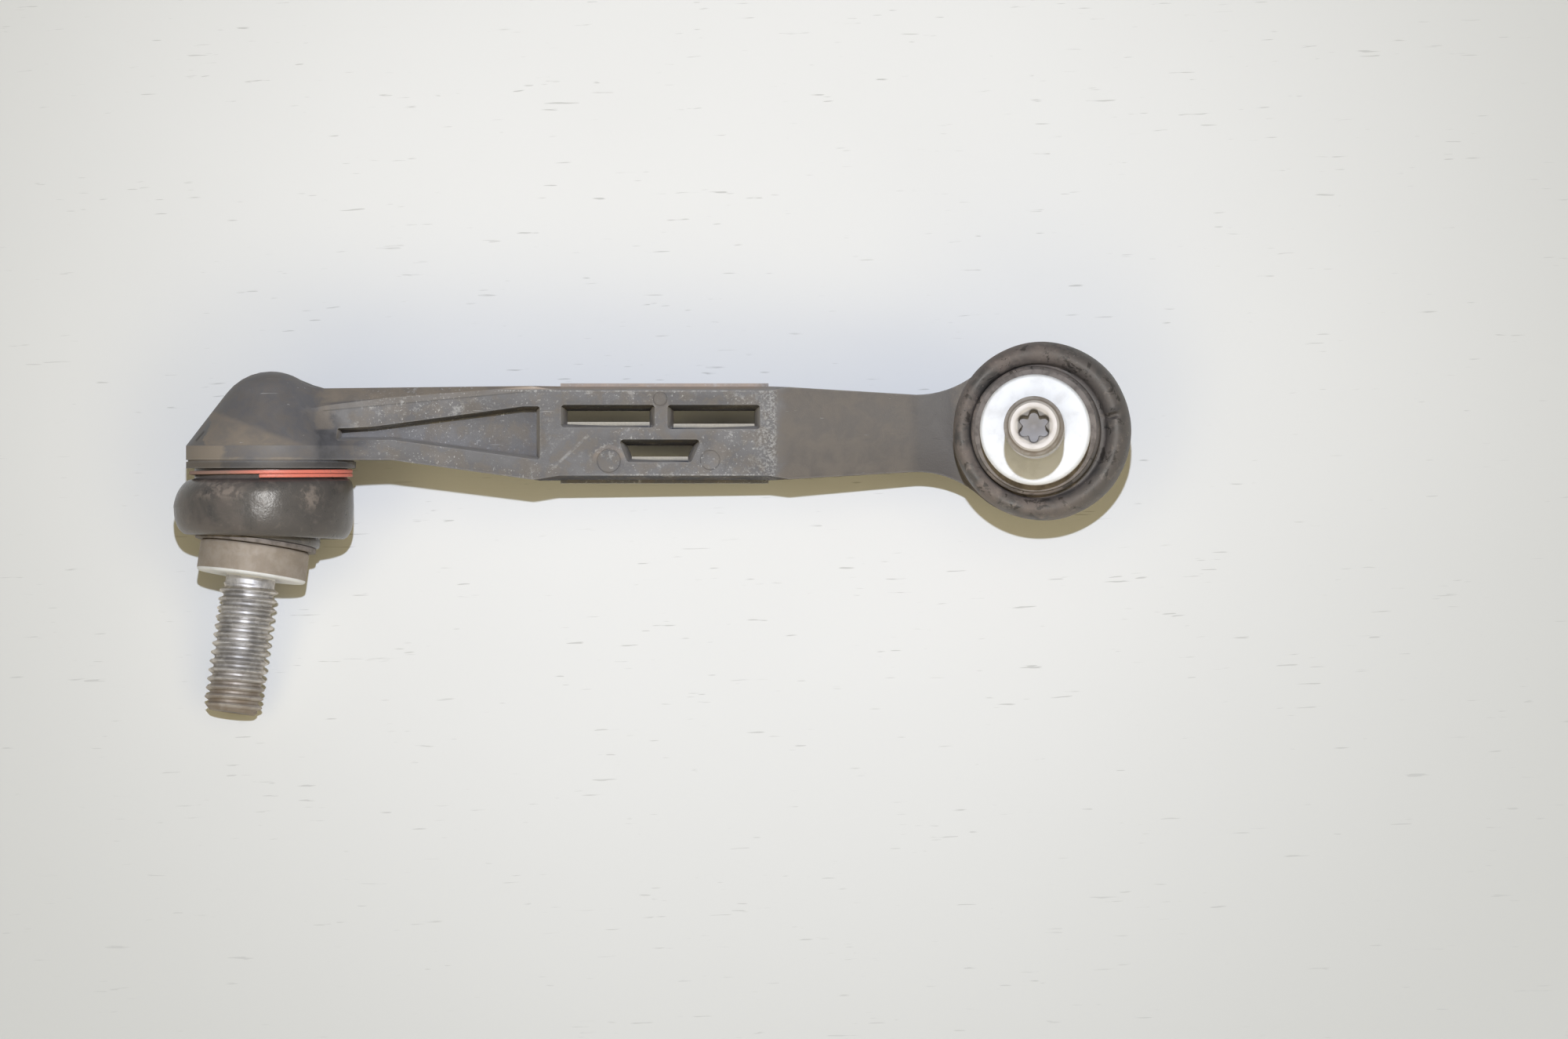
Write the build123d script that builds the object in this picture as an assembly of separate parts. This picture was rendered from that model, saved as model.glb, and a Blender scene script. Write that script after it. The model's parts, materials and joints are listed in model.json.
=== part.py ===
"""Stabilizer link with a moulded body and a ball joint at each end.

Millimetres. The origin is the left ball's centre, +X runs along the arm to the right ball,
the left joint opens towards -Y and the right joint towards +Z. Both ends of the body and both
ball joints are made in a joint frame: +Z out of the cup, +X along the arm.
"""
from build123d import *
from math import acos, atan2, cos, hypot, radians, sin, sqrt, tan
import os

# Body
CENTRE_DISTANCE = 128.5      # from ball centre to ball centre
CUP_RADIUS = 14.25           # outside of the cup at its band
NOSE_RADIUS = 9.4            # rounding at the closed end of the cup
NOSE_OFFSET = 1.0            # centre of that rounding, behind the ball centre
NOSE_BLEND = 6.0             # hollow rounding between the nose and the arm's back
BAND_START = 2.1             # the cup's cone ends and its band starts
FLANGE_TOP = 5.85            # face that the boot's foot sits on
FLANGE_HEIGHT = 1.1
FLANGE_GROOVE = 0.3          # depth and height of the groove under the flange
SPIGOT_WALL = 1.15           # mouth of the cup, inside the boot's foot
SPIGOT_HEIGHT = 2.1
SPIGOT_LIP = 0.35            # bead that keeps the boot's foot on
NECK_HALF = 6.45             # half the arm's width beside a cup
FLARE_RADIUS = 16.0          # between arm and cup
FLARE_DEPTH = 6.0            # how far behind the ball centre the flare reaches
ARM_FRONT = 4.47             # the arm's side towards the opening, beside the cup
ARM_BACK = 7.45              # the arm's other side
ARM_HALF = 7.9               # half the arm's middle, both ways
MID_REACH = 45.0             # the middle starts this far from each ball
FACET_START = 8.0            # the bevel beside the cup is widest here
FACET_DEPTH = 3.95
SIDE_DRAFT = 5.8             # degrees, sides of the middle
DRAFT_RUN_IN = 5.0           # length over which a drafted side starts or ends
RIDGE_OUT = 0.5              # parting ridge, how far it stands out
RIDGE_HEIGHT = 1.6
RIDGE_INSET = 3.6            # from the middle's start to where ridge and draft start

# Pocket and slots
WEB = 4.4                    # web between the pockets of the two faces
POCKET_DRAFT = 7.0           # degrees
POCKET_ROUND = 0.5
POCKET_OUTLINE = ((11.3, -1.3), (20.6, -1.3), (45.3, -4.5), (45.3, 4.5), (42.5, 4.5), (17.5, 1.3),
                  (11.3, 0.9))
SLOT_DRAFT = 7.0
SLOT_ROUND = 0.6
SLOT_ONE = ((48.8, 0.95), (64.5, 0.95), (64.5, 4.74), (48.8, 4.74))
SLOT_TWO = ((66.6, 0.65), (82.1, 0.65), (82.1, 4.74), (66.6, 4.74))
SLOT_THREE = ((59.9, -4.87), (70.6, -4.87), (72.3, -1.05), (58.4, -1.05))
PIN_MARK_DEPTH = 0.12        # marks of the ejector pins
PIN_MARK_RADIUS = 2.05
PIN_MARKS = ((57.0, -4.87), (74.1, -4.87))
SMALL_MARK_RADIUS = 1.2
SMALL_MARK = (65.4, 5.45)

# Ball joint, heights counted from the ball centre along its axis
BALL_RADIUS = 6.5
BALL_FLAT = 6.1              # flat at the bottom of the ball
BALL_CLEARANCE = 0.05
SHELL_WALL = 0.95
SHELL_TOP = 2.6              # the shell reaches past the ball's widest circle
SHELL_FLANGE_WIDTH = 1.9
SHELL_FLANGE_HEIGHT = 1.0
SEAT_CLEARANCE = 0.05        # between pieces that sit in each other
RING_RADIUS = 10.0           # closing ring
RING_TOP = 6.2
RING_HOLE_BOTTOM = 6.25
RING_HOLE_TOP = 8.3
NECK_RADIUS = 4.0
NECK_FLARE_HEIGHT = 2.8      # cone between neck and land
LAND_RADIUS = 7.0            # the boot's lip and the seal ring sit on it
LAND_HEIGHT = 5.3
COLLAR_RADIUS = 9.2
COLLAR_HEIGHT = 5.3
COLLAR_CHAMFER = 0.45
SEAT_HEIGHT = 24.4           # collar face that a bracket is clamped to
SEAT_RELIEF_RADIUS = 5.25    # the seat is free of the shank's root, as wide as a bracket's hole
SEAT_RELIEF_DEPTH = 0.4
UNDERCUT_RADIUS = 4.15
UNDERCUT_LENGTH = 1.3
THREAD_RADIUS = 4.93
SHANK_LENGTH = 22.9          # from the collar's seat to the tip
TIP_CHAMFER = 1.1
SOCKET_DEPTH = 3.6
SOCKET_POINT_RADIUS = 2.76
SOCKET_CORE_RADIUS = 2.1
SOCKET_LOBE_RADIUS = 0.62
SOCKET_LOBES = 6
SOCKET_TURN = 30             # degrees from the arm to the first lobe
SOCKET_MOUTH_RADIUS = 2.95   # cone that leads into the socket
SOCKET_MOUTH_DEPTH = 0.5
SEAL_RADIUS = 10.2
SEAL_THICKNESS = 0.8

# Clamp ring over the boot's foot
CLAMP_WIDTH = 0.85           # flat wire, across the joint's axis
CLAMP_HEIGHT = 0.6           # flat wire, along the joint's axis
CLAMP_PITCH = 0.66
CLAMP_TURNS = 1.45
CLAMP_END_ANGLE = 96.0       # degrees round the joint's axis from the arm

# Boot
FOOT_WALL = 1.55             # thickness of the foot under the clamp ring
FOOT_HEIGHT = 1.75
BOOT_WALL = 1.3
BOOT_RADIUS = 14.85
BOOT_SHOULDER = 1.6          # round between the foot and the bell
WALL_LOWER_SHARE = 0.15      # up to this share of its height the wall is round the cup's axis
WALL_UPPER_SHARE = 0.52      # and from this one round the crown's leaning axis
CROWN_TUBE = 1.75            # radius of the crown's round
CROWN_DROP = 0.8             # from the lip's top down to the crown's
GROOVE_DEPTH = 2.6           # between crown and lip
GROOVE_SLOPE = 0.75
LIP_WALL = 2.45
LIP_HEIGHT = 4.2

# Lean of the studs as the link lies, in degrees from the joint's axis
LEFT_LEAN_OUT = 7.8          # away from the arm
LEFT_LEAN_SIDE = 3.6
RIGHT_LEAN_OUT = -1.8        # towards the arm
RIGHT_LEAN_SIDE = -1.1
CROWN_SHARE = 0.45           # share of the lean that the boot's crown follows
LEFT_CROWN_SHIFT = 1.2       # the leaning stud pushes the boot's crown away from the arm
RIGHT_CROWN_SHIFT = 0.65

# Heights and radii that follow from the sizes above
NECK_END = sqrt((FLARE_RADIUS + CUP_RADIUS) ** 2 - (NECK_HALF + FLARE_RADIUS) ** 2)
MIDDLE_LENGTH = CENTRE_DISTANCE - 2 * MID_REACH
RIDGE_START = MID_REACH + RIDGE_INSET
RIDGE_END = CENTRE_DISTANCE - MID_REACH
SHELL_RADIUS = BALL_RADIUS + BALL_CLEARANCE + SHELL_WALL
SHELL_FLANGE_RADIUS = SHELL_RADIUS + SHELL_FLANGE_WIDTH
SPIGOT_RADIUS = RING_RADIUS + SEAT_CLEARANCE + SPIGOT_WALL
SPIGOT_TOP = FLANGE_TOP + SPIGOT_HEIGHT
SPIGOT_CATCH = SPIGOT_TOP - 2 * SPIGOT_LIP
FOOT_BOTTOM = FLANGE_TOP + SEAT_CLEARANCE
FOOT_TOP = FOOT_BOTTOM + FOOT_HEIGHT
FOOT_RADIUS = SPIGOT_RADIUS + SEAT_CLEARANCE + FOOT_WALL
CLAMP_INNER = FOOT_RADIUS + SEAT_CLEARANCE
CLAMP_BOTTOM = FLANGE_TOP + SEAT_CLEARANCE
COLLAR_START = SEAT_HEIGHT - COLLAR_HEIGHT
SEAL_TOP = COLLAR_START - SEAT_CLEARANCE
LIP_TOP = SEAL_TOP - SEAL_THICKNESS - SEAT_CLEARANCE
LAND_START = COLLAR_START - LAND_HEIGHT
NECK_TOP = LAND_START - NECK_FLARE_HEIGHT
STUD_TIP = SEAT_HEIGHT + SHANK_LENGTH
CROWN_TOP = LIP_TOP - CROWN_DROP
GROOVE_FLOOR = CROWN_TOP - GROOVE_DEPTH
WALL_START = FOOT_TOP + BOOT_SHOULDER
WALL_END = CROWN_TOP - CROWN_TUBE
WALL_LOWER = WALL_START + (WALL_END - WALL_START) * WALL_LOWER_SHARE
WALL_UPPER = WALL_START + (WALL_END - WALL_START) * WALL_UPPER_SHARE


def at(radius, height):
    """Point of a section that is turned about the joint's axis."""
    return (radius, 0, height)


def path(*points):
    """Straight edges through points given as radius and height."""
    corners = [at(*p) for p in points]
    return [Line(a, b) for a, b in zip(corners, corners[1:])]


def turned(*edges):
    """Solid turned about the joint's axis from the edges of a closed section."""
    return revolve(make_face(Wire(edges)), Axis.Z)


def ring(inner, outer, bottom, top):
    """Plain ring on the joint's axis."""
    return turned(*path((inner, bottom), (outer, bottom), (outer, top), (inner, top), (inner, bottom)))


def half_space(origin, along, across):
    """Large block on the side of a plane that the cross product of its two directions points to."""
    normal = Vector(*along).cross(Vector(*across))
    plane = Plane(origin=origin, x_dir=along, z_dir=normal)
    side = 2 * CENTRE_DISTANCE
    return plane.location * Box(side, side, side, align=(Align.CENTER, Align.CENTER, Align.MIN))


def prism(points, plane, reach):
    """Polygon in a plane, extruded both ways."""
    return extrude(plane * make_face(Polyline(*points, close=True)), reach, both=True)


def flare_face(height, neck, cup):
    """Arm and cup joined by an arc on each side, as a face across the joint's axis."""
    reach = FLARE_RADIUS + cup
    centre = (sqrt(reach ** 2 - (neck + FLARE_RADIUS) ** 2), neck + FLARE_RADIUS)
    touch = (centre[0] * cup / reach, centre[1] * cup / reach)
    middle_angle = (atan2(-centre[1], -centre[0]) - radians(90)) / 2
    middle = (centre[0] + FLARE_RADIUS * cos(middle_angle), centre[1] + FLARE_RADIUS * sin(middle_angle))
    edges = [
        ThreePointArc((centre[0], neck), middle, touch),
        Line(touch, (0, touch[1])),
        Line((0, touch[1]), (0, -touch[1])),
        Line((0, -touch[1]), (touch[0], -touch[1])),
        ThreePointArc((touch[0], -touch[1]), (middle[0], -middle[1]), (centre[0], -neck)),
        Line((centre[0], -neck), (centre[0], neck)),
    ]
    return Pos(0, 0, height) * make_face(Wire(edges))


def nose_radius_at(height):
    """Radius of the cup's rounded nose at a height."""
    return sqrt(NOSE_RADIUS ** 2 - (height + NOSE_OFFSET) ** 2)


def arm_half():
    """Arm from one ball to the middle, in the joint frame."""
    side = prism([(0, -ARM_BACK), (MID_REACH, -ARM_HALF), (MID_REACH, ARM_HALF),
                  (NECK_END, ARM_FRONT), (0, ARM_FRONT)], Plane.XZ, CUP_RADIUS)
    plan = prism([(0, -NECK_HALF), (NECK_END, -NECK_HALF), (MID_REACH, -ARM_HALF),
                  (MID_REACH, ARM_HALF), (NECK_END, NECK_HALF), (0, NECK_HALF)], Plane.XY, CUP_RADIUS)
    band_face = flare_face(BAND_START, NECK_HALF, CUP_RADIUS)
    nose_face = flare_face(-FLARE_DEPTH, NECK_HALF, nose_radius_at(-FLARE_DEPTH))
    flare = loft([nose_face, band_face], ruled=True) + extrude(band_face, ARM_FRONT - BAND_START)
    wide = Vector(FACET_START, NECK_HALF, -ARM_FRONT)
    far = Vector(MID_REACH, ARM_HALF, -ARM_HALF)
    low = Vector(FACET_START, NECK_HALF - FACET_DEPTH, -ARM_BACK)
    facet = half_space(wide, tuple(far - wide), tuple(low - wide))
    return (side & plan) + flare - facet - mirror(facet, Plane.XZ)


def draft_cut():
    """What the drafted side takes off the middle's upper front edge, in the body's frame."""
    inward = ARM_HALF * tan(radians(SIDE_DRAFT))
    near, far = (RIDGE_START, ARM_HALF, 0), (RIDGE_END, ARM_HALF, 0)
    up = (0, -inward, ARM_HALF)
    side = half_space(near, up, (1, 0, 0))
    run_in = half_space(near, up, (DRAFT_RUN_IN, 0, -ARM_HALF))
    run_out = half_space(far, up, (DRAFT_RUN_IN, 0, ARM_HALF))
    return side & run_in & run_out


def cup():
    """Outside of a cup: nose, cone, band, grooved flange and the spigot for the boot's foot."""
    reach = hypot(CUP_RADIUS, BAND_START + NOSE_OFFSET)
    tangent = atan2(BAND_START + NOSE_OFFSET, CUP_RADIUS) - acos(NOSE_RADIUS / reach)
    halfway = (tangent - radians(90)) / 2

    def nose(angle):
        return (NOSE_RADIUS * cos(angle), NOSE_RADIUS * sin(angle) - NOSE_OFFSET)

    flange_bottom = FLANGE_TOP - FLANGE_HEIGHT
    lip = SPIGOT_RADIUS + SPIGOT_LIP
    return turned(
        ThreePointArc(at(*nose(radians(-90))), at(*nose(halfway)), at(*nose(tangent))),
        *path(nose(tangent), (CUP_RADIUS, BAND_START), (CUP_RADIUS, flange_bottom - FLANGE_GROOVE),
              (CUP_RADIUS - FLANGE_GROOVE, flange_bottom - FLANGE_GROOVE),
              (CUP_RADIUS - FLANGE_GROOVE, flange_bottom), (CUP_RADIUS, flange_bottom),
              (CUP_RADIUS, FLANGE_TOP), (SPIGOT_RADIUS, FLANGE_TOP),
              (SPIGOT_RADIUS, SPIGOT_CATCH), (lip, SPIGOT_CATCH + SPIGOT_LIP),
              (lip, SPIGOT_TOP), (0, SPIGOT_TOP), nose(radians(-90))))


def cup_and_arm():
    """Cup with its half of the arm, their seam at the back hollowed out."""
    end = arm_half() + cup()
    seam = []
    for edge in end.edges():
        middle = edge @ 0.5
        on_nose = abs((middle - Vector(0, 0, -NOSE_OFFSET)).length - NOSE_RADIUS) < SEAT_CLEARANCE
        if on_nose and middle.X > NOSE_RADIUS / 2 and middle.Z < -ARM_FRONT:
            seam.append(edge)
    return end.fillet(NOSE_BLEND, seam)


def cup_bore():
    """Space in a cup for the bearing shell and the closing ring."""
    shell = SHELL_RADIUS + SEAT_CLEARANCE
    flange = SHELL_FLANGE_RADIUS + SEAT_CLEARANCE
    mouth = RING_RADIUS + SEAT_CLEARANCE
    step = SHELL_TOP - SHELL_FLANGE_HEIGHT
    side = shell * sqrt(0.5)
    return turned(ThreePointArc(at(0, -shell), at(side, -side), at(shell, 0)),
                  *path((shell, 0), (shell, step), (flange, step), (flange, SHELL_TOP),
                        (mouth, SHELL_TOP), (mouth, SPIGOT_TOP), (0, SPIGOT_TOP), (0, -shell)))


def recess(points, draft, corner, depth):
    """Drafted recess sunk from the arm's upper face: its outline shrinks towards the bottom."""
    face = make_face(Polyline(*points, close=True))
    face = fillet(face.vertices(), corner)
    sunk = mirror(extrude(face, depth, taper=draft), Plane.XY)
    return Pos(0, 0, ARM_HALF) * (sunk + extrude(face, CUP_RADIUS - ARM_HALF))


def link_body():
    """Arm, two cups, pockets, slots and parting ridge, moulded in one piece."""
    middle = Pos(CENTRE_DISTANCE / 2, 0, 0) * Box(MIDDLE_LENGTH, 2 * ARM_HALF, 2 * ARM_HALF)
    end = cup_and_arm()
    body = middle + LEFT_FRAME * end + RIGHT_FRAME * end
    cut = draft_cut()
    for piece in (cut, mirror(cut, Plane.XY)):
        body -= piece
        body -= mirror(piece, Plane.XZ)
    ridge = Box(RIDGE_END - RIDGE_START, 2 * (ARM_HALF + RIDGE_OUT), RIDGE_HEIGHT)
    body += Pos((RIDGE_START + RIDGE_END) / 2, 0, 0) * ridge
    pocket = recess(POCKET_OUTLINE, POCKET_DRAFT, POCKET_ROUND, ARM_HALF - WEB / 2)
    slots = [recess(points, SLOT_DRAFT, SLOT_ROUND, ARM_HALF) for points in (SLOT_ONE, SLOT_TWO, SLOT_THREE)]
    marks = [Pos(x, y, ARM_HALF) * Cylinder(PIN_MARK_RADIUS, 2 * PIN_MARK_DEPTH) for x, y in PIN_MARKS]
    marks.append(Pos(*SMALL_MARK, ARM_HALF) * Cylinder(SMALL_MARK_RADIUS, 2 * PIN_MARK_DEPTH))
    for tool in [pocket, *slots, *marks]:
        body -= tool
        body -= mirror(tool, Plane.XY)
    return body - LEFT_FRAME * cup_bore() - RIGHT_FRAME * cup_bore()


def bearing_shell():
    """Plastic shell that the ball turns in."""
    inner = BALL_RADIUS + BALL_CLEARANCE
    rim = sqrt(inner ** 2 - SHELL_TOP ** 2)
    outer_side, inner_side = SHELL_RADIUS * sqrt(0.5), inner * sqrt(0.5)
    step = SHELL_TOP - SHELL_FLANGE_HEIGHT + SEAT_CLEARANCE
    return turned(
        ThreePointArc(at(0, -SHELL_RADIUS), at(outer_side, -outer_side), at(SHELL_RADIUS, 0)),
        *path((SHELL_RADIUS, 0), (SHELL_RADIUS, step), (SHELL_FLANGE_RADIUS, step),
              (SHELL_FLANGE_RADIUS, SHELL_TOP), (rim, SHELL_TOP)),
        ThreePointArc(at(rim, SHELL_TOP), at(inner_side, -inner_side), at(0, -inner)),
        *path((0, -inner), (0, -SHELL_RADIUS)))


def retaining_ring():
    """Closing ring over the shell, with a coned hole that the neck swings in."""
    bottom = SHELL_TOP + SEAT_CLEARANCE
    return turned(*path((RING_HOLE_BOTTOM, bottom), (RING_RADIUS, bottom), (RING_RADIUS, RING_TOP),
                        (RING_HOLE_TOP, RING_TOP), (RING_HOLE_BOTTOM, bottom)))


def stud():
    """Ball, neck, collar and shank, forged and turned in one piece, with a six-lobe socket."""
    flat = sqrt(BALL_RADIUS ** 2 - BALL_FLAT ** 2)
    neck = sqrt(BALL_RADIUS ** 2 - NECK_RADIUS ** 2)
    edge = COLLAR_RADIUS - COLLAR_CHAMFER
    thread_start = SEAT_HEIGHT + UNDERCUT_LENGTH
    blank = turned(
        *path((0, -BALL_FLAT), (flat, -BALL_FLAT)),
        ThreePointArc(at(flat, -BALL_FLAT), at(BALL_RADIUS, 0), at(NECK_RADIUS, neck)),
        *path((NECK_RADIUS, neck), (NECK_RADIUS, NECK_TOP), (LAND_RADIUS, LAND_START),
              (LAND_RADIUS, COLLAR_START), (edge, COLLAR_START),
              (COLLAR_RADIUS, COLLAR_START + COLLAR_CHAMFER), (COLLAR_RADIUS, SEAT_HEIGHT - COLLAR_CHAMFER),
              (edge, SEAT_HEIGHT), (SEAT_RELIEF_RADIUS, SEAT_HEIGHT),
              (UNDERCUT_RADIUS, SEAT_HEIGHT - SEAT_RELIEF_DEPTH), (UNDERCUT_RADIUS, thread_start),
              (THREAD_RADIUS, thread_start + THREAD_RADIUS - UNDERCUT_RADIUS),
              (THREAD_RADIUS, STUD_TIP - TIP_CHAMFER), (THREAD_RADIUS - TIP_CHAMFER, STUD_TIP),
              (0, STUD_TIP), (0, -BALL_FLAT)))
    lobes = PolarLocations(SOCKET_POINT_RADIUS - SOCKET_LOBE_RADIUS, SOCKET_LOBES, SOCKET_TURN)
    star = Circle(SOCKET_CORE_RADIUS) + [place * Circle(SOCKET_LOBE_RADIUS) for place in lobes]
    mouth_end = STUD_TIP - SOCKET_MOUTH_DEPTH
    mouth = turned(*path((0, mouth_end), (SOCKET_CORE_RADIUS, mouth_end), (SOCKET_MOUTH_RADIUS, STUD_TIP),
                         (0, STUD_TIP), (0, mouth_end)))
    return blank - Pos(0, 0, STUD_TIP - SOCKET_DEPTH) * extrude(star, SOCKET_DEPTH) - mouth


def clamp_ring():
    """Flat wire wound about one and a half turns, so that its ends pass each other."""
    radius = CLAMP_INNER + CLAMP_WIDTH / 2
    coil = Helix(CLAMP_PITCH, CLAMP_PITCH * CLAMP_TURNS, radius)
    start = Plane(origin=coil @ 0, x_dir=(1, 0, 0), z_dir=coil % 0)
    wire = sweep(start * Rectangle(CLAMP_WIDTH, CLAMP_HEIGHT), path=coil, is_frenet=True)
    return Pos(0, 0, CLAMP_BOTTOM + CLAMP_HEIGHT / 2) * Rot(0, 0, CLAMP_END_ANGLE - 360 * CLAMP_TURNS) * wire


def lean(out, side, share=1.0):
    """Placement of what leans with the stud, or with a share of its lean."""
    return Rot(0, -out * share, 0) * Rot(-side * share, 0, 0)


def boot(out, side, shift):
    """Rubber boot: foot and bell round the cup's axis, shifted and leaning crown, lip on the stud."""
    inner = BOOT_RADIUS - BOOT_WALL
    bore = SPIGOT_RADIUS + SEAT_CLEARANCE
    lip_bore = bore + SPIGOT_LIP
    catch = SPIGOT_CATCH - SEAT_CLEARANCE
    turn = BOOT_RADIUS - BOOT_SHOULDER
    outer_bend, inner_bend = BOOT_SHOULDER * sqrt(0.5), (BOOT_SHOULDER - BOOT_WALL) * sqrt(0.5)
    bell = turned(
        *path((bore, FOOT_BOTTOM), (FOOT_RADIUS, FOOT_BOTTOM), (FOOT_RADIUS, FOOT_TOP), (turn, FOOT_TOP)),
        ThreePointArc(at(turn, FOOT_TOP), at(turn + outer_bend, WALL_START - outer_bend),
                      at(BOOT_RADIUS, WALL_START)),
        *path((BOOT_RADIUS, WALL_START), (BOOT_RADIUS, WALL_LOWER), (inner, WALL_LOWER), (inner, WALL_START)),
        ThreePointArc(at(inner, WALL_START), at(turn + inner_bend, WALL_START - inner_bend),
                      at(turn, FOOT_TOP + BOOT_WALL)),
        *path((turn, FOOT_TOP + BOOT_WALL), (lip_bore, SPIGOT_TOP + SEAT_CLEARANCE),
              (lip_bore, catch + SPIGOT_LIP), (bore, catch), (bore, FOOT_BOTTOM)))
    crown_place = Pos(-shift, 0, 0) * lean(out, side, CROWN_SHARE)
    upper = crown_place * Pos(0, 0, WALL_UPPER)
    lower = Pos(0, 0, WALL_LOWER)
    band = (loft([lower * Circle(BOOT_RADIUS), upper * Circle(BOOT_RADIUS)], ruled=True)
            - loft([lower * Circle(inner), upper * Circle(inner)], ruled=True))
    centre = BOOT_RADIUS - CROWN_TUBE
    hollow = CROWN_TUBE - BOOT_WALL
    floor_edge = centre - CROWN_TUBE - GROOVE_SLOPE
    corner = BOOT_WALL / 2
    crown = turned(
        *path((BOOT_RADIUS, WALL_UPPER), (BOOT_RADIUS, WALL_END)),
        ThreePointArc(at(BOOT_RADIUS, WALL_END), at(centre, CROWN_TOP), at(centre - CROWN_TUBE, WALL_END)),
        *path((centre - CROWN_TUBE, WALL_END), (floor_edge, GROOVE_FLOOR), (0, GROOVE_FLOOR),
              (0, GROOVE_FLOOR - BOOT_WALL), (floor_edge + corner, GROOVE_FLOOR - BOOT_WALL),
              (centre - hollow, WALL_END - corner), (centre - hollow, WALL_END)),
        ThreePointArc(at(centre - hollow, WALL_END), at(centre, WALL_END + hollow),
                      at(centre + hollow, WALL_END)),
        *path((inner, WALL_END), (inner, WALL_UPPER), (BOOT_RADIUS, WALL_UPPER)))
    stud_place = lean(out, side)
    land = LAND_RADIUS + SEAT_CLEARANCE
    lip = stud_place * ring(land, land + LIP_WALL, LIP_TOP - LIP_HEIGHT, LIP_TOP)
    through = stud_place * ring(0, land, WALL_LOWER, STUD_TIP)
    return bell + band + crown_place * crown - through + lip


LEFT_FRAME = Plane(origin=(0, 0, 0), x_dir=(1, 0, 0), z_dir=(0, -1, 0)).location
RIGHT_FRAME = Plane(origin=(CENTRE_DISTANCE, 0, 0), x_dir=(-1, 0, 0), z_dir=(0, 0, 1)).location


def ball_joint(side_name, frame, out, side, shift):
    """The separate pieces of one ball joint, placed in the body's frame."""
    leaning = frame * lean(out, side)
    land = LAND_RADIUS + SEAT_CLEARANCE
    return {
        f"{side_name}_bearing_shell": frame * bearing_shell(),
        f"{side_name}_retaining_ring": frame * retaining_ring(),
        f"{side_name}_clamp_ring": frame * clamp_ring(),
        f"{side_name}_boot": frame * boot(out, side, shift),
        f"{side_name}_seal_ring": leaning * ring(land, SEAL_RADIUS, SEAL_TOP - SEAL_THICKNESS, SEAL_TOP),
        f"{side_name}_stud": leaning * stud(),
    }


pieces = {"link_body": link_body()}
pieces |= ball_joint("left", LEFT_FRAME, LEFT_LEAN_OUT, LEFT_LEAN_SIDE, LEFT_CROWN_SHIFT)
pieces |= ball_joint("right", RIGHT_FRAME, RIGHT_LEAN_OUT, RIGHT_LEAN_SIDE, RIGHT_CROWN_SHIFT)

os.makedirs("parts", exist_ok=True)
for name, shape in pieces.items():
    export_step(shape, f"parts/{name}.step")
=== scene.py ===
"""Looks of a used stabilizer link: moulded body, two booted ball joints, table, lamp and camera.

The link lies as it is packed: the origin is the left ball's centre, +X runs along the arm, the left
joint opens towards -Y and the right joint towards +Z. The joints' pieces are modelled in the frame
of their own joint, +Z out of the cup and +X along the arm, and are then placed in metres. Sizes,
places and patterns are in millimetres, and masks and shares run from 0 to 1, unless a comment says
otherwise.
"""
from __future__ import annotations

import json
import logging
import math
from contextlib import contextmanager
from dataclasses import dataclass, field
from enum import Enum
from functools import reduce
from typing import Callable, Iterator, Sequence

import bmesh
import bpy
from mathutils import Matrix, Vector, noise
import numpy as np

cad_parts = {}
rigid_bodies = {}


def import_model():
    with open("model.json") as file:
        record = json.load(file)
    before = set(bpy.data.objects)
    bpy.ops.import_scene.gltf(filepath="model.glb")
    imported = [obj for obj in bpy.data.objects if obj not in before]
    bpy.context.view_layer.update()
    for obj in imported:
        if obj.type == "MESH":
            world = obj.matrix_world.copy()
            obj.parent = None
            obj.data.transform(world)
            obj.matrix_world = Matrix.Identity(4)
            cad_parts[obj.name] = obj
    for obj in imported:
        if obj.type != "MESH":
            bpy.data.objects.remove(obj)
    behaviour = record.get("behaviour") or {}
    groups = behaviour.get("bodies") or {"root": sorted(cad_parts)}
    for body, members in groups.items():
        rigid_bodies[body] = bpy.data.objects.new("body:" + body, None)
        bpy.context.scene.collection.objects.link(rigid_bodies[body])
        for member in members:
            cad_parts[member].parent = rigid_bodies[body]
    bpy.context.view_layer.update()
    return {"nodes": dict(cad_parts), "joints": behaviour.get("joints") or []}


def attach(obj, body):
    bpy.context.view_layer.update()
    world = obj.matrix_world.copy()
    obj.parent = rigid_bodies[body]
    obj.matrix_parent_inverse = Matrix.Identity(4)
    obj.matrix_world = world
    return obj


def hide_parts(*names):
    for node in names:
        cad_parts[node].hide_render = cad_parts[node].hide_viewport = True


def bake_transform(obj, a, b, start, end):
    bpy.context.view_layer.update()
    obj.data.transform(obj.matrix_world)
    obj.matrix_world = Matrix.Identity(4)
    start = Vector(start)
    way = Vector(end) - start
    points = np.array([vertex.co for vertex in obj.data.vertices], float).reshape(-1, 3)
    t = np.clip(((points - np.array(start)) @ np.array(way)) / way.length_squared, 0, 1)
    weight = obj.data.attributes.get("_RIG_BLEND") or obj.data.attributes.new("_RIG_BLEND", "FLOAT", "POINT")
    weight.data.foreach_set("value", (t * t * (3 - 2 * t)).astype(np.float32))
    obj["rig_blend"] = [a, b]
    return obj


MM = 0.001
TURN = 2 * math.pi
POLE = 1e-6                 # a ring this small closes to a pole
ALONG = Vector((1, 0, 0))
ACROSS = Vector((0, 1, 0))
UP = Vector((0, 0, 1))
LOG = logging.getLogger("stabilizer_link")

Colour = tuple[float, float, float, float]
Point = tuple[float, float]
Bounds = tuple[float, float]        # where a smooth step starts and where it is complete
Span = tuple[float, float, float]   # start, end and the softness of both
Radius = float | Callable[[float], float]
RingShape = Callable[[float], Point]
Ring = tuple[RingShape, float]
Socket = bpy.types.NodeSocket
Value = Socket | float


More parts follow.
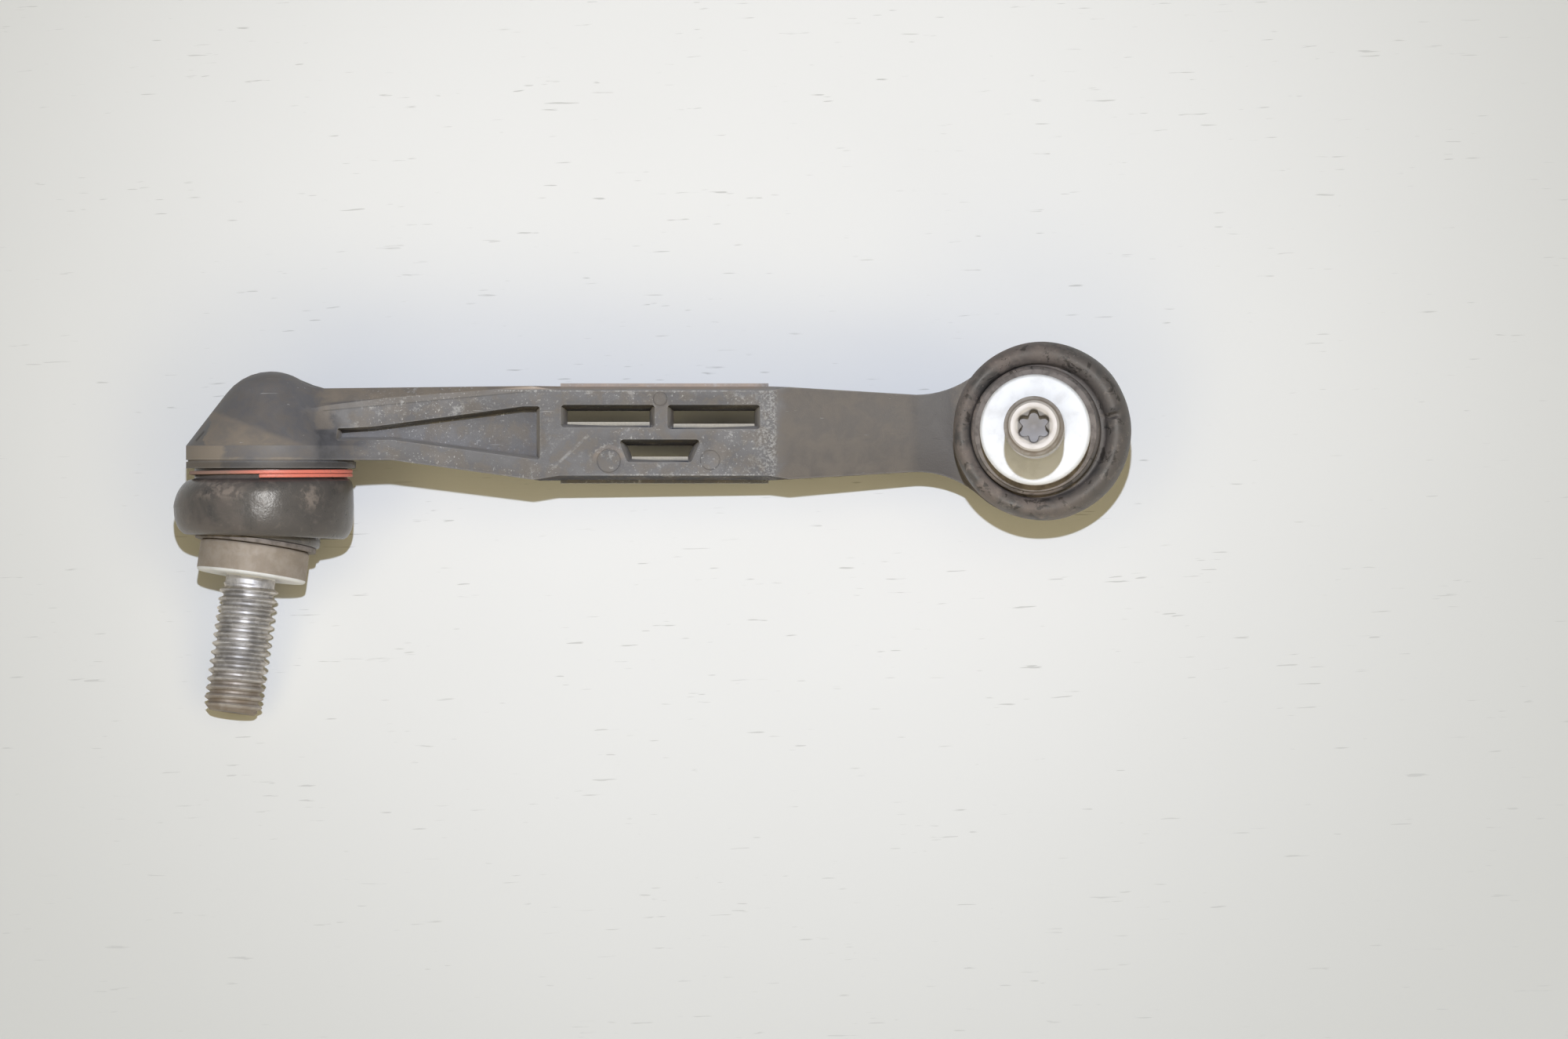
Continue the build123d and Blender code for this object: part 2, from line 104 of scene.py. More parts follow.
def tone(red: int, green: int, blue: int) -> Colour:
    """Turns a display colour, 0 to 255 a channel, into the shader's own colour.

    Args:
        red: Red channel.
        green: Green channel.
        blue: Blue channel.

    Returns:
        The linear colour with full alpha.
    """
    def channel(value: int) -> float:
        """One channel, by the usual display curve."""
        share = value / 255
        return share / 12.92 if share <= 0.04045 else ((share + 0.055) / 1.055) ** 2.4

    return (channel(red), channel(green), channel(blue), 1.0)


def arc(centre: Point, radius: float, start: float, end: float, steps: int) -> list[Point]:
    """Points of an arc in a section.

    Args:
        centre: Radius and height of the arc's centre.
        radius: The arc's own radius.
        start: Angle of the first point in degrees, 0 outwards and 90 up.
        end: Angle of the last point in degrees.
        steps: Number of stretches.

    Returns:
        The points as radius and height.
    """
    angles = [math.radians(start + (end - start) * i / steps) for i in range(steps + 1)]
    return [(centre[0] + radius * math.cos(a), centre[1] + radius * math.sin(a)) for a in angles]


def dress(obj: bpy.types.Object, material: bpy.types.Material, node: str) -> None:
    """Gives a piece its finish and hides the CAD node that it replaces.

    Args:
        obj: The piece.
        material: Its finish.
        node: The CAD node that it replaces.
    """
    obj.data.materials.clear()
    obj.data.materials.append(material)
    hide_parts(node)
    LOG.info("%s: %d faces", obj.name, len(obj.data.polygons))


class Side(Enum):
    """The two ball joints, by the prefix of their pieces' names."""

    LEFT = "left"
    RIGHT = "right"


class Limit(Enum):
    """What a mask is at its two bounds."""

    RISE = (0.0, 1.0)
    FALL = (1.0, 0.0)


@dataclass(frozen=True)
class Place:
    """Where one ball joint sits, in metres in the link's frame."""

    side: Side
    ball: Vector
    opening: Vector
    along: Vector
    stud: Vector

    def named(self, piece: str) -> str:
        """Full name of one of this joint's pieces or bodies."""
        return f"{self.side.value}_{piece}"

    def leaning(self, share: float) -> Matrix:
        """Turns the joint's own axis by a share of the stud's lean, about the ball.

        Args:
            share: The share of the lean.

        Returns:
            The turn.
        """
        whole = self.opening.rotation_difference(self.stud)
        axis, angle = whole.to_axis_angle()
        return Matrix.Rotation(angle * share, 4, axis)

    def frame(self, share: float = 0.0) -> Matrix:
        """Matrix from the joint's millimetres to the link's metres.

        Args:
            share: Share of the stud's lean that the frame takes on.

        Returns:
            The placing matrix.
        """
        across = self.opening.cross(self.along)
        axes = Matrix((self.along, across, self.opening)).transposed().to_4x4()
        return Matrix.Translation(self.ball) @ self.leaning(share) @ axes @ Matrix.Scale(MM, 4)


@dataclass(frozen=True)
class SlotField:
    """The stretch of the arm's middle that the three slots lie in."""

    start: float = 48.0
    end: float = 83.0
    half: float = 5.5


@dataclass(frozen=True)
class StudHeights:
    """Heights along a stud, counted from its ball's centre."""

    neck_end: float = 11.0
    land_start: float = 13.8
    collar_start: float = 19.1
    seat: float = 24.4
    undercut_end: float = 25.7
    tip: float = 47.3


@dataclass(frozen=True)
class Pattern:
    """A noise: the size of its blotches and how they are broken up."""

    size: float
    detail: float = 4.0
    rough: float = 0.55
    warp: float = 0.0


@dataclass(frozen=True)
class Scratches:
    """Fine lines in one direction."""

    width: float
    turn: float          # degrees about the height
    share: float         # how much more of them than the fewest


@dataclass(frozen=True)
class Patch:
    """A patch on a joint, between two places along the arm and two heights above the ball."""

    start: float
    end: float
    low: float
    high: float


class Bench:
    """Edit-mode work on one mesh at a time, the way it is done by hand."""

    CAD_DOUBLES = 0.002 * MM     # corners of neighbouring CAD triangles that are merged
    CAD_FLAT = 0.2               # degrees that the triangles of one flat face may differ
    BEVEL_STEPS = 3

    @staticmethod
    def deselect() -> None:
        """Leaves nothing selected."""
        for obj in bpy.context.selected_objects:
            obj.select_set(False)

    @staticmethod
    def take(obj: bpy.types.Object) -> None:
        """Makes one object the only selected and the active one.

        Args:
            obj: The object.
        """
        Bench.deselect()
        obj.select_set(True)
        bpy.context.view_layer.objects.active = obj

    @staticmethod
    def added(name: str) -> bpy.types.Object:
        """Names the primitive that was just added.

        Args:
            name: The name of the object and of its mesh.

        Returns:
            The object.
        """
        obj = bpy.context.object
        obj.name = obj.data.name = name
        return obj

    @staticmethod
    @contextmanager
    def editing(obj: bpy.types.Object, mode: str = "VERT") -> Iterator[None]:
        """Edit mode on one object, with nothing selected at the start.

        Args:
            obj: The object to work on.
            mode: What is picked: VERT, EDGE or FACE.

        Yields:
            Nothing; the mesh is read with Bench.mesh.
        """
        Bench.take(obj)
        bpy.ops.object.mode_set(mode="EDIT")
        bpy.ops.mesh.select_mode(type=mode)
        bpy.ops.mesh.select_all(action="DESELECT")
        yield
        bpy.ops.object.mode_set(mode="OBJECT")

    @staticmethod
    def mesh() -> bmesh.types.BMesh:
        """Mesh that is being edited."""
        return bmesh.from_edit_mesh(bpy.context.edit_object.data)

    @staticmethod
    def update() -> None:
        """Hands changes of the edited mesh on to its object."""
        bmesh.update_edit_mesh(bpy.context.edit_object.data)

    @staticmethod
    def pick_rim(height: float, margin: float = 1e-3) -> None:
        """Selects the open edges that lie at one height.

        Args:
            height: The height.
            margin: How far off an edge may lie.
        """
        for edge in Bench.mesh().edges:
            level = all(abs(v.co.z - height) < margin for v in edge.verts)
            edge.select_set(edge.is_boundary and level)
        Bench.update()

    @staticmethod
    def set_ring(radius: Radius, height: float) -> None:
        """Puts the selected loop on a ring round the axis.

        Args:
            radius: The ring's radius, or a function from the angle to the radius.
            height: The ring's height.
        """
        for vertex in [v for v in Bench.mesh().verts if v.select]:
            angle = math.atan2(vertex.co.y, vertex.co.x)
            reach = radius(angle) if callable(radius) else radius
            vertex.co = (reach * math.cos(angle), reach * math.sin(angle), height)
        Bench.update()

    @staticmethod
    def grow(outline: Sequence[tuple[Radius, float]]) -> None:
        """Extrudes the selected open loop ring by ring.

        Args:
            outline: Radius and height of each ring.
        """
        for radius, height in outline:
            bpy.ops.mesh.extrude_region()
            Bench.set_ring(radius, height)

    @staticmethod
    def merge(margin: float) -> None:
        """Merges all vertices that lie within a margin, and selects everything.

        Args:
            margin: The margin, in the mesh's own unit.
        """
        bpy.ops.mesh.select_all(action="SELECT")
        bpy.ops.mesh.remove_doubles(threshold=margin)
        bpy.ops.mesh.select_all(action="SELECT")

    @staticmethod
    def close_up(margin: float = 1e-4) -> None:
        """Merges doubles, which closes seams and poles, and turns all faces outwards."""
        Bench.merge(margin)
        bpy.ops.mesh.normals_make_consistent(inside=False)

    @staticmethod
    def apply(obj: bpy.types.Object, kind: str, **settings: object) -> None:
        """Adds a modifier and applies it.

        Args:
            obj: The object.
            kind: The modifier's type.
            **settings: The modifier's settings by name.
        """
        modifier = obj.modifiers.new(kind.lower(), kind)
        for key, value in settings.items():
            setattr(modifier, key, value)
        Bench.take(obj)
        bpy.ops.object.modifier_apply(modifier=modifier.name)

    @staticmethod
    def smooth(obj: bpy.types.Object, degrees: float) -> None:
        """Shades smooth, with sharp edges past an angle."""
        Bench.take(obj)
        bpy.ops.object.shade_smooth_by_angle(angle=math.radians(degrees))

    @staticmethod
    def put(obj: bpy.types.Object, place: Matrix) -> None:
        """Moves a mesh to the link's metres and leaves its object at the origin."""
        obj.data.transform(place)
        obj.matrix_world = Matrix.Identity(4)

    @staticmethod
    def rounded_copy(node: bpy.types.Object, name: str, edge: float,
                     degrees: float = 24.0) -> bpy.types.Object:
        """Copies a CAD node, merges its loose triangles and rounds its edges.

        Args:
            node: The CAD node's object, which stays as it is.
            name: The copy's name.
            edge: Width of the rounding.
            degrees: Edges past this angle are rounded.

        Returns:
            The copy, shaded smooth.
        """
        obj = bpy.data.objects.new(name, node.data.copy())
        obj.data.name = name
        bpy.context.scene.collection.objects.link(obj)
        with Bench.editing(obj):
            Bench.merge(Bench.CAD_DOUBLES)
            bpy.ops.mesh.dissolve_limited(angle_limit=math.radians(Bench.CAD_FLAT),
                                          use_dissolve_boundaries=False)
        Bench.apply(obj, "BEVEL", width=edge * MM, segments=Bench.BEVEL_STEPS,
                    limit_method="ANGLE", angle_limit=math.radians(degrees),
                    harden_normals=False, use_clamp_overlap=True)
        Bench.smooth(obj, degrees)
        return obj


class Graph:
    """Builds the nodes of one material."""

    SHEEN = (1.0, 0.9, 0.74, 1.0)               # tint of plain reflections in this warm room
    MIX_UNDER, MIX_OVER, MIX_RESULT = 6, 7, 2   # the Mix node's sockets for colours
    LINE_CORE, LINE_BORDER = 0.4, 1.2           # of a line's half width: full, and gone
    SCRATCH_STRETCH = (0.04, 1.0, 1.0)
    SCRATCH_PEAKS = (0.74, 0.78)
    SCRATCH_BREAKS = (0.46, 0.56)
    SCRATCH_STRETCHES = Pattern(9.0, 2.0)
    CREVICE_SAMPLES = 6

    def __init__(self, name: str) -> None:
        """Starts an empty material on Object coordinates.

        Args:
            name: The material's name.
        """
        self.material = bpy.data.materials.new(name)
        self.material.use_nodes = True
        self.start(self.material.node_tree, "Object")

    def start(self, tree: bpy.types.NodeTree, coordinates: str) -> None:
        """Empties a node tree and takes up its coordinates.

        Args:
            tree: The node tree.
            coordinates: The coordinates that patterns are laid on.
        """
        self.tree = tree
        self.tree.nodes.clear()
        self.point = self.node("ShaderNodeTexCoord").outputs[coordinates]

    def node(self, kind: str, **settings: object) -> bpy.types.Node:
        """Adds a node.

        Args:
            kind: The node's type.
            **settings: Its plain options by name.

        Returns:
            The node.
        """
        made = self.tree.nodes.new(kind)
        for key, value in settings.items():
            setattr(made, key, value)
        return made

    def feed(self, socket: Socket, value: object) -> None:
        """Links a socket, or sets it to a plain value.

        Args:
            socket: The socket that is fed.
            value: Another node's socket, or a number, vector or colour.
        """
        if isinstance(value, Socket):
            self.tree.links.new(value, socket)
        else:
            socket.default_value = value

    def calc(self, operation: str, first: Value, second: Value = 0.0) -> Socket:
        """One step of arithmetic.

        Args:
            operation: The Math node's operation.
            first: First number.
            second: Second number, where there is one.

        Returns:
            The result.
        """
        made = self.node("ShaderNodeMath", operation=operation)
        self.feed(made.inputs[0], first)
        self.feed(made.inputs[1], second)
        return made.outputs[0]

    def product(self, *values: Value) -> Value:
        """Values multiplied together."""
        return reduce(lambda total, value: self.calc("MULTIPLY", total, value), values)

    def either(self, *values: Value) -> Value:
        """The largest of some values."""
        return reduce(lambda most, value: self.calc("MAXIMUM", most, value), values)

    def total(self, first: Value, second: Value) -> Socket:
        """Two values added up."""
        return self.calc("ADD", first, second)

    def rest(self, value: Value) -> Socket:
        """What is left of 1 without a value."""
        return self.calc("SUBTRACT", 1.0, value)

    def vector(self, operation: str, first: Socket, second: Vector | None = None,
               output: str = "Vector") -> Socket:
        """One step of vector arithmetic.

        Args:
            operation: The Vector Math node's operation.
            first: First vector.
            second: Second vector, where there is one.
            output: Which result is wanted: Vector, or Value for a number.

        Returns:
            The result.
        """
        made = self.node("ShaderNodeVectorMath", operation=operation)
        self.feed(made.inputs[0], first)
        if second is not None:
            made.inputs[1].default_value = second
        return made.outputs[output]

    def spread(self, value: Value, bounds: Bounds, target: Bounds,
               kind: str = "LINEAR") -> Socket:
        """A value between two bounds spread over two others, and held between them.

        Args:
            value: What is measured.
            bounds: Where the value is taken from.
            target: What it becomes at those two bounds.
            kind: The Map Range node's interpolation.

        Returns:
            The new value.
        """
        made = self.node("ShaderNodeMapRange", interpolation_type=kind, clamp=True)
        self.feed(made.inputs["Value"], value)
        names = ("From Min", "From Max", "To Min", "To Max")
        for name, number in zip(names, (*bounds, *target)):
            made.inputs[name].default_value = number
        return made.outputs["Result"]

    def mask(self, value: Value, low: float, high: float, limit: Limit = Limit.RISE) -> Socket:
        """Smooth step of a value between a low and a high bound, rising or falling."""
        return self.spread(value, (low, high), limit.value, "SMOOTHSTEP")

    def shade(self, value: Value, low: float, high: float) -> Socket:
        """A value from 0 to 1 spread evenly between two others."""
        return self.spread(value, (0.0, 1.0), (low, high))

    def between(self, value: Value, start: float, end: float, soft: float) -> Socket:
        """Mask of a stretch.

        Args:
            value: What is measured.
            start: Where the stretch starts.
            end: Where it ends.
            soft: Half the width of its soft ends.

        Returns:
            The mask, 1 inside the stretch.
        """
        rise = self.mask(value, start - soft, start + soft)
        fall = self.mask(value, end - soft, end + soft, Limit.FALL)
        return self.product(rise, fall)

    def measure(self, origin: Vector, axis: Vector) -> Socket:
        """Millimetres from a point in metres, counted along an axis."""
        ahead = self.vector("DOT_PRODUCT", self.point, axis / MM, "Value")
        return self.calc("SUBTRACT", ahead, origin.dot(axis) / MM)

    def reach(self, origin: Vector, axis: Vector) -> Socket:
        """Distance from an axis.

        Args:
            origin: A point of the axis, in metres.
            axis: The axis.

        Returns:
            The distance in millimetres.
        """
        moved = self.vector("SUBTRACT", self.point, origin)
        crossed = self.vector("CROSS_PRODUCT", moved, axis / MM)
        return self.vector("LENGTH", crossed, output="Value")

    def around(self, x: float, y: float) -> Socket:
        """Distance from the upright axis through a place on the arm."""
        return self.reach(Vector((x, y, 0)) * MM, UP)

    def facing(self, axis: Vector) -> Socket:
        """How far the surface faces a direction, 1 when it faces it fully."""
        normal = self.node("ShaderNodeTexCoord").outputs["Normal"]
        return self.vector("DOT_PRODUCT", normal, axis, "Value")

    def line(self, start: Point, end: Point, width: float) -> Socket:
        """Mask of a straight mark between two places on the arm.

        Args:
            start: One end.
            end: The other end.
            width: Half the mark's width.

        Returns:
            The mask, soft at its sides and ends.
        """
        first, last = Vector((*start, 0)), Vector((*end, 0))
        reach = (last - first).length
        ahead = (last - first) / reach
        beside = self.calc("ABSOLUTE", self.measure(first * MM, Vector((-ahead.y, ahead.x, 0))))
        core, border = width * self.LINE_CORE, width * self.LINE_BORDER
        return self.product(self.mask(beside, core, border, Limit.FALL),
                            self.between(self.measure(first * MM, ahead), 0.0, reach, width))

    def noise(self, pattern: Pattern, vector: Socket | None = None) -> Socket:
        """Lays a noise on the piece.

        Args:
            pattern: The noise.
            vector: Its coordinates, where they aren't the plain ones.

        Returns:
            The noise from 0 to 1.
        """
        made = self.node("ShaderNodeTexNoise")
        self.feed(made.inputs["Vector"], vector or self.point)
        made.inputs["Scale"].default_value = 1 / (pattern.size * MM)
        made.inputs["Detail"].default_value = pattern.detail
        made.inputs["Roughness"].default_value = pattern.rough
        made.inputs["Distortion"].default_value = pattern.warp
        return made.outputs["Fac"]

    def scratches(self, kind: Scratches) -> Socket:
        """Mask of fine lines, where a long stretched noise peaks.

        Args:
            kind: The lines.

        Returns:
            The mask.
        """
        turned = self.node("ShaderNodeMapping", vector_type="POINT")
        self.feed(turned.inputs["Vector"], self.point)
        turned.inputs["Rotation"].default_value = (0, 0, math.radians(kind.turn))
        turned.inputs["Scale"].default_value = self.SCRATCH_STRETCH
        lines = self.noise(Pattern(kind.width, 2.0, 0.5, 0.15), turned.outputs["Vector"])
        broken = self.mask(self.noise(self.SCRATCH_STRETCHES), *self.SCRATCH_BREAKS)
        low, high = (bound - kind.share for bound in self.SCRATCH_PEAKS)
        return self.product(self.mask(lines, low, high), broken)

    def mix(self, share: Value, under: Socket | Colour, over: Socket | Colour) -> Socket:
        """Lays a colour over another.

        Args:
            share: How much of it covers.
            under: The colour below.
            over: The colour on top.

        Returns:
            The mixed colour.
        """
        made = self.node("ShaderNodeMix", data_type="RGBA", blend_type="MIX")
        self.feed(made.inputs["Factor"], share)
        self.feed(made.inputs[self.MIX_UNDER], under)
        self.feed(made.inputs[self.MIX_OVER], over)
        return made.outputs[self.MIX_RESULT]

    def crevice(self, distance: float, inside: bool = False) -> Socket:
        """Measures how closed in the surface is.

        Args:
            distance: How far walls count.
            inside: Measures outer edges, from inside the piece, in place of creases.

        Returns:
            The measure, 0 on a flat face.
        """
        made = self.node("ShaderNodeAmbientOcclusion", samples=self.CREVICE_SAMPLES,
                         inside=inside, only_local=True)
        made.inputs["Distance"].default_value = distance * MM
        return self.rest(made.outputs["AO"])

    def bump(self, height: Value, depth: float) -> Socket:
        """Bumps the surface.

        Args:
            height: Height from 0 to 1.
            depth: What a height of 1 is.

        Returns:
            The bumped normal.
        """
        made = self.node("ShaderNodeBump")
        made.inputs["Strength"].default_value = 1.0
        made.inputs["Distance"].default_value = depth * MM
        self.feed(made.inputs["Height"], height)
        return made.outputs["Normal"]

    def finish(self, colour: Socket, rough: Value, metal: Value = 0.0,
               normal: Socket | None = None, specular: Value = 0.5) -> bpy.types.Material:
        """Joins everything in one surface shader.

        Args:
            colour: Base colour.
            rough: Roughness.
            metal: How far the surface is metal.
            normal: Bumped normal, where there is one.
            specular: Strength of plain reflections.

        Returns:
            The material.
        """
        surface = self.node("ShaderNodeBsdfPrincipled")
        self.feed(surface.inputs["Base Color"], colour)
        self.feed(surface.inputs["Roughness"], rough)
        self.feed(surface.inputs["Metallic"], metal)
        self.feed(surface.inputs["Specular IOR Level"], specular)
        surface.inputs["Specular Tint"].default_value = self.SHEEN
        if normal is not None:
            self.feed(surface.inputs["Normal"], normal)
        output = self.node("ShaderNodeOutputMaterial")
        self.tree.links.new(surface.outputs["BSDF"], output.inputs["Surface"])
        return self.material


class ArmGraph(Graph):
    """Graph of the body's material, with the measures and patterns that its layers share."""

    BLOTCH = Pattern(9.0, 6.0, 0.6, 0.6)
    CLOUD = Pattern(3.2, 5.0, 0.6, 0.4)
    FINE = Pattern(0.9, 4.0, 0.62)
    GRIT = Pattern(0.4, 4.0, 0.7)
    GRAIN = Pattern(0.22, 3.0, 0.6)
    RAGGED_CLOUD = (-2.2, 2.2)
    RAGGED_FINE = (-0.6, 0.6)
    PATCHES = (0.32, 0.66)

    def __init__(self, name: str) -> None:
        """Sets up the places on the link and the patterns, from coarse to fine.

        Args:
            name: The material's name.
        """
        super().__init__(name)
        self.along = self.measure(Vector(), ALONG)
        self.side = self.measure(Vector(), ACROSS)
        self.height = self.measure(Vector(), UP)
        self.blotch = self.noise(self.BLOTCH)
        self.cloud = self.noise(self.CLOUD)
        self.fine = self.noise(self.FINE)
        self.grit = self.noise(self.GRIT)
        self.grain = self.noise(self.GRAIN)
        wander = self.total(self.shade(self.cloud, *self.RAGGED_CLOUD),
                            self.shade(self.fine, *self.RAGGED_FINE))
        self.ragged = self.total(self.along, wander)
        self.patchy = self.mask(self.cloud, *self.PATCHES)

    def above(self, slope: float) -> Socket:
        """Place across the arm, counted from a line that rises along the arm."""
        return self.calc("SUBTRACT", self.side, self.product(self.along, slope))


class RoomGraph(Graph):
    """Builds the nodes of the surroundings."""

    def __init__(self, name: str) -> None:
        """Starts an empty world, on directions.

        Args:
            name: The world's name.
        """
        self.world = bpy.data.worlds.new(name)
        self.world.use_nodes = True
        self.start(self.world.node_tree, "Generated")

    @staticmethod
    def dimmed(colour: Colour, share: float) -> Colour:
        """A colour times a share."""
        return (colour[0] * share, colour[1] * share, colour[2] * share, 1.0)

    def surround(self, colour: Socket) -> None:
        """Lays the colour round the scene.

        Args:
            colour: The colour by direction.
        """
        background = self.node("ShaderNodeBackground")
        self.feed(background.inputs["Color"], colour)
        output = self.node("ShaderNodeOutputWorld")
        self.tree.links.new(background.outputs["Background"], output.inputs["Surface"])
        bpy.context.scene.world = self.world


@dataclass(frozen=True)
class MouldedPlastic:
    """Worn, dusty, glass-filled plastic of the link's body, dirty by zones along the arm.

    The zones run from the left cup over the arm's bevelled root, its middle with pocket and slots,
    the crest where the middle ends, and the bare half, to the flare beside the right cup.
    """

    # Colours, from the plastic itself to what lies on it
    clean: Colour = tone(90, 90, 94)
    dark: Colour = tone(72, 72, 76)
    pale: Colour = tone(110, 109, 112)
    # painted light on the steep walls that don't face -Y
    bare: Colour = tone(74, 71, 71)
    painted_wall_light: Colour = tone(188, 184, 182)
    dust: Colour = tone(138, 128, 117)
    ochre: Colour = tone(198, 176, 158)
    # soot, and painted shade in creases, in the fold and under the flange
    soot_and_shade: Colour = tone(42, 40, 39)
    scuffed: Colour = tone(190, 190, 190)
    # bare glass fibres, with a painted highlight for their sparkle
    bare_fibres_and_glint: Colour = tone(206, 196, 176)

    # The plastic itself, and painted light on its steep walls
    dark_clouds: Bounds = (0.38, 0.72)
    pale_blotches: Bounds = (0.45, 0.7)
    pale_share: float = 0.55
    crest: float = 84.3
    crest_fade: float = 2.5
    cup_end: Bounds = (7.0, 9.5)
    cup_pale_share: float = 0.35
    steep_walls: Bounds = (0.2, 0.45)
    steep_span: Span = (10.0, 110.0, 1.0)
    lit_walls: Bounds = (-0.6, -0.3)
    lit_cover: Bounds = (0.7, 1.0)

    # Brown film on the left cup
    cone_start: Bounds = (-10.9, -10.2)
    cone_low: Bounds = (-2.3, -1.9)
    cone_slope: float = 0.38
    cone_high: Bounds = (-0.6, 1.1)
    cone_cover: Bounds = (0.55, 1.0)
    band_high: Bounds = (-2.2, -1.9)
    band_end: Bounds = (-8.2, -6.6)
    band_share: float = 0.9
    streak: Span = (-4.7, -4.0, 0.2)
    streak_end: Bounds = (4.0, 9.0)
    streak_share: float = 0.8
    cup_film_end: Bounds = (6.5, 9.0)
    cup_film_share: float = 0.32

    # Brown film on the arm, laid fully on the bevel's tilted facet, where it is also painted light
    bevel: Span = (7.8, 43.0, 1.5)
    bevel_slope: float = 0.08
    bevel_edge: Bounds = (4.0, 4.5)
    bevel_cover: Bounds = (0.6, 1.0)
    fold_slope: float = 0.093
    fold_edge: Bounds = (2.85, 3.05)
    fold_film: float = 0.35
    root: Span = (7.8, 10.5, 0.8)
    root_low: Bounds = (0.4, 0.9)
    root_share: float = 0.5
    bare_half: Span = (84.3, 108.0, 1.6)
    bare_cover: Bounds = (0.35, 0.9)
    bare_share: float = 0.35
    flare_start: Bounds = (113.5, 117.0)
    flare_side: Bounds = (0.2, 1.0)
    flare_cover: Bounds = (0.4, 1.0)
    flare_share: float = 0.8
    middle: Span = (12.0, 84.0, 2.0)
    middle_patches: Bounds = (0.3, 0.95)
    middle_share: float = 0.3

    # Ochre dirt along the upper rib and under the first pin mark
    rib: Span = (40.0, 83.0, 3.0)
    rib_low: Bounds = (7.15, 7.6)
    rib_share: float = 0.9
    mark_ring: Span = (1.9, 2.7, 0.2)
    mark_low: Bounds = (-5.2, -3.6)
    mark_share: float = 0.2
    ochre_cover: Bounds = (0.3, 1.0)

    # Painted shade in creases, in the fold beside the bevel and under the flange, and black in a nick
    crease_depth: float = 0.6
    creases: Bounds = (0.3, 0.75)
    crease_share: float = 0.3
    fold: Span = (2.8, 3.0, 0.08)
    fold_reach: Span = (9.0, 44.0, 0.5)
    fold_share: float = 0.5
    flange: Span = (-5.9, -4.72, 0.08)
    flange_end: Bounds = (15.0, 15.4)
    flange_share: float = 0.55
    nick: tuple[Point, Point] = ((-12.3, -1.3), (-10.9, 0.3))
    nick_width: float = 0.22
    nick_share: float = 0.8
    pin_marks: tuple[tuple[float, float, float], ...] = (
        (56.8, -4.64, 1.92), (73.75, -4.5, 1.6), (65.4, 5.74, 1.12))
    pin_line: float = 0.06
    pin_soft: float = 0.05
    pin_share: float = 0.28

    # Wear down to the glass fibres
    edge_depth: float = 0.5
    edges: Bounds = (0.22, 0.5)
    edge_share: float = 0.45
    crest_wear: float = 5.0
    crest_edge: float = 1.0
    crest_grit: Bounds = (0.44, 0.62)
    crest_share: float = 0.45
    upper_rim: Span = (6.95, 7.2, 0.08)
    lower_rim: Span = (-7.1, -6.85, 0.08)
    lower_rim_start: Bounds = (54.0, 60.0)
    rim_reach: Span = (38.0, 84.3, 1.5)
    rim_grit: Bounds = (0.46, 0.6)
    rim_share: float = 0.6
    speck_grit: Bounds = (0.59, 0.67)
    speck_blotches: Bounds = (0.38, 0.56)
    speck_reach: Span = (16.0, 84.0, 3.0)
    speck_share: float = 0.75
    bruise: Pattern = Pattern(1.5, 6.0, 0.75)
    bruise_bounds: Bounds = (0.54, 0.66)
    bruise_groups: Pattern = Pattern(7.0)
    bruise_group_bounds: Bounds = (0.46, 0.6)
    bruise_reach: Span = (14.0, 84.0, 2.0)
    bruise_share: float = 0.45
    scuff: tuple[Point, Point] = ((54.1, 0.3), (47.0, -6.3))
    scuff_width: float = 0.3
    scuff_breaks: Bounds = (0.4, 0.66)
    scuff_share: float = 0.3
    scratches: tuple[Scratches, ...] = (
        Scratches(0.5, 28, 0.0), Scratches(0.6, -47, 0.02), Scratches(0.45, 5, 0.0))
    scratch_share: float = 0.4

    # Ledges half-way down the slots: bare glass fibres, with a painted highlight for their sparkle
    slots: SlotField = SlotField()
    ledge_soft: tuple[float, float] = (0.2, 0.1)    # along and across the arm
    ledge_facing: Bounds = (0.7, 0.9)
    ledge_heights: Span = (-1.0, 1.0, 0.2)
    ledge_cover: Bounds = (0.5, 1.3)

    # Surface
    smoothness: Bounds = (0.46, 0.56)
    film_rough: float = 0.18
    grain_relief: float = 0.4
    cloud_relief: float = 0.5
    fine_relief: float = 0.35
    mark_relief: float = 0.6
    relief_depth: float = 0.06
    specular: float = 0.5

    def steep(self, g: ArmGraph) -> Socket:
        """Mask of walls that stand steeply, on the arm alone."""
        lying = g.calc("ABSOLUTE", g.facing(UP))
        return g.product(g.mask(lying, *self.steep_walls, Limit.FALL),
                         g.between(g.along, *self.steep_span))

    def ground(self, g: ArmGraph, steep: Socket) -> Socket:
        """The plastic itself: darker clouds, paler blotches, the bare half, painted light on steep walls.

        Args:
            g: The material's graph.
            steep: Mask of the steep walls.

        Returns:
            The colour.
        """
        colour = g.mix(g.mask(g.cloud, *self.dark_clouds), self.clean, self.dark)
        blotches = g.product(g.mask(g.blotch, *self.pale_blotches), self.pale_share)
        colour = g.mix(blotches, colour, self.pale)
        beyond = g.mask(g.ragged, self.crest, self.crest + self.crest_fade)
        colour = g.mix(beyond, colour, self.bare)
        # painted light: steep walls of the arm that don't face -Y are made paler
        lit = g.product(steep, g.mask(g.facing(ACROSS), *self.lit_walls),
                        g.shade(g.cloud, *self.lit_cover))
        colour = g.mix(lit, colour, self.painted_wall_light)
        cup = g.product(g.mask(g.ragged, *self.cup_end, Limit.FALL), self.cup_pale_share)
        return g.mix(cup, colour, self.pale)

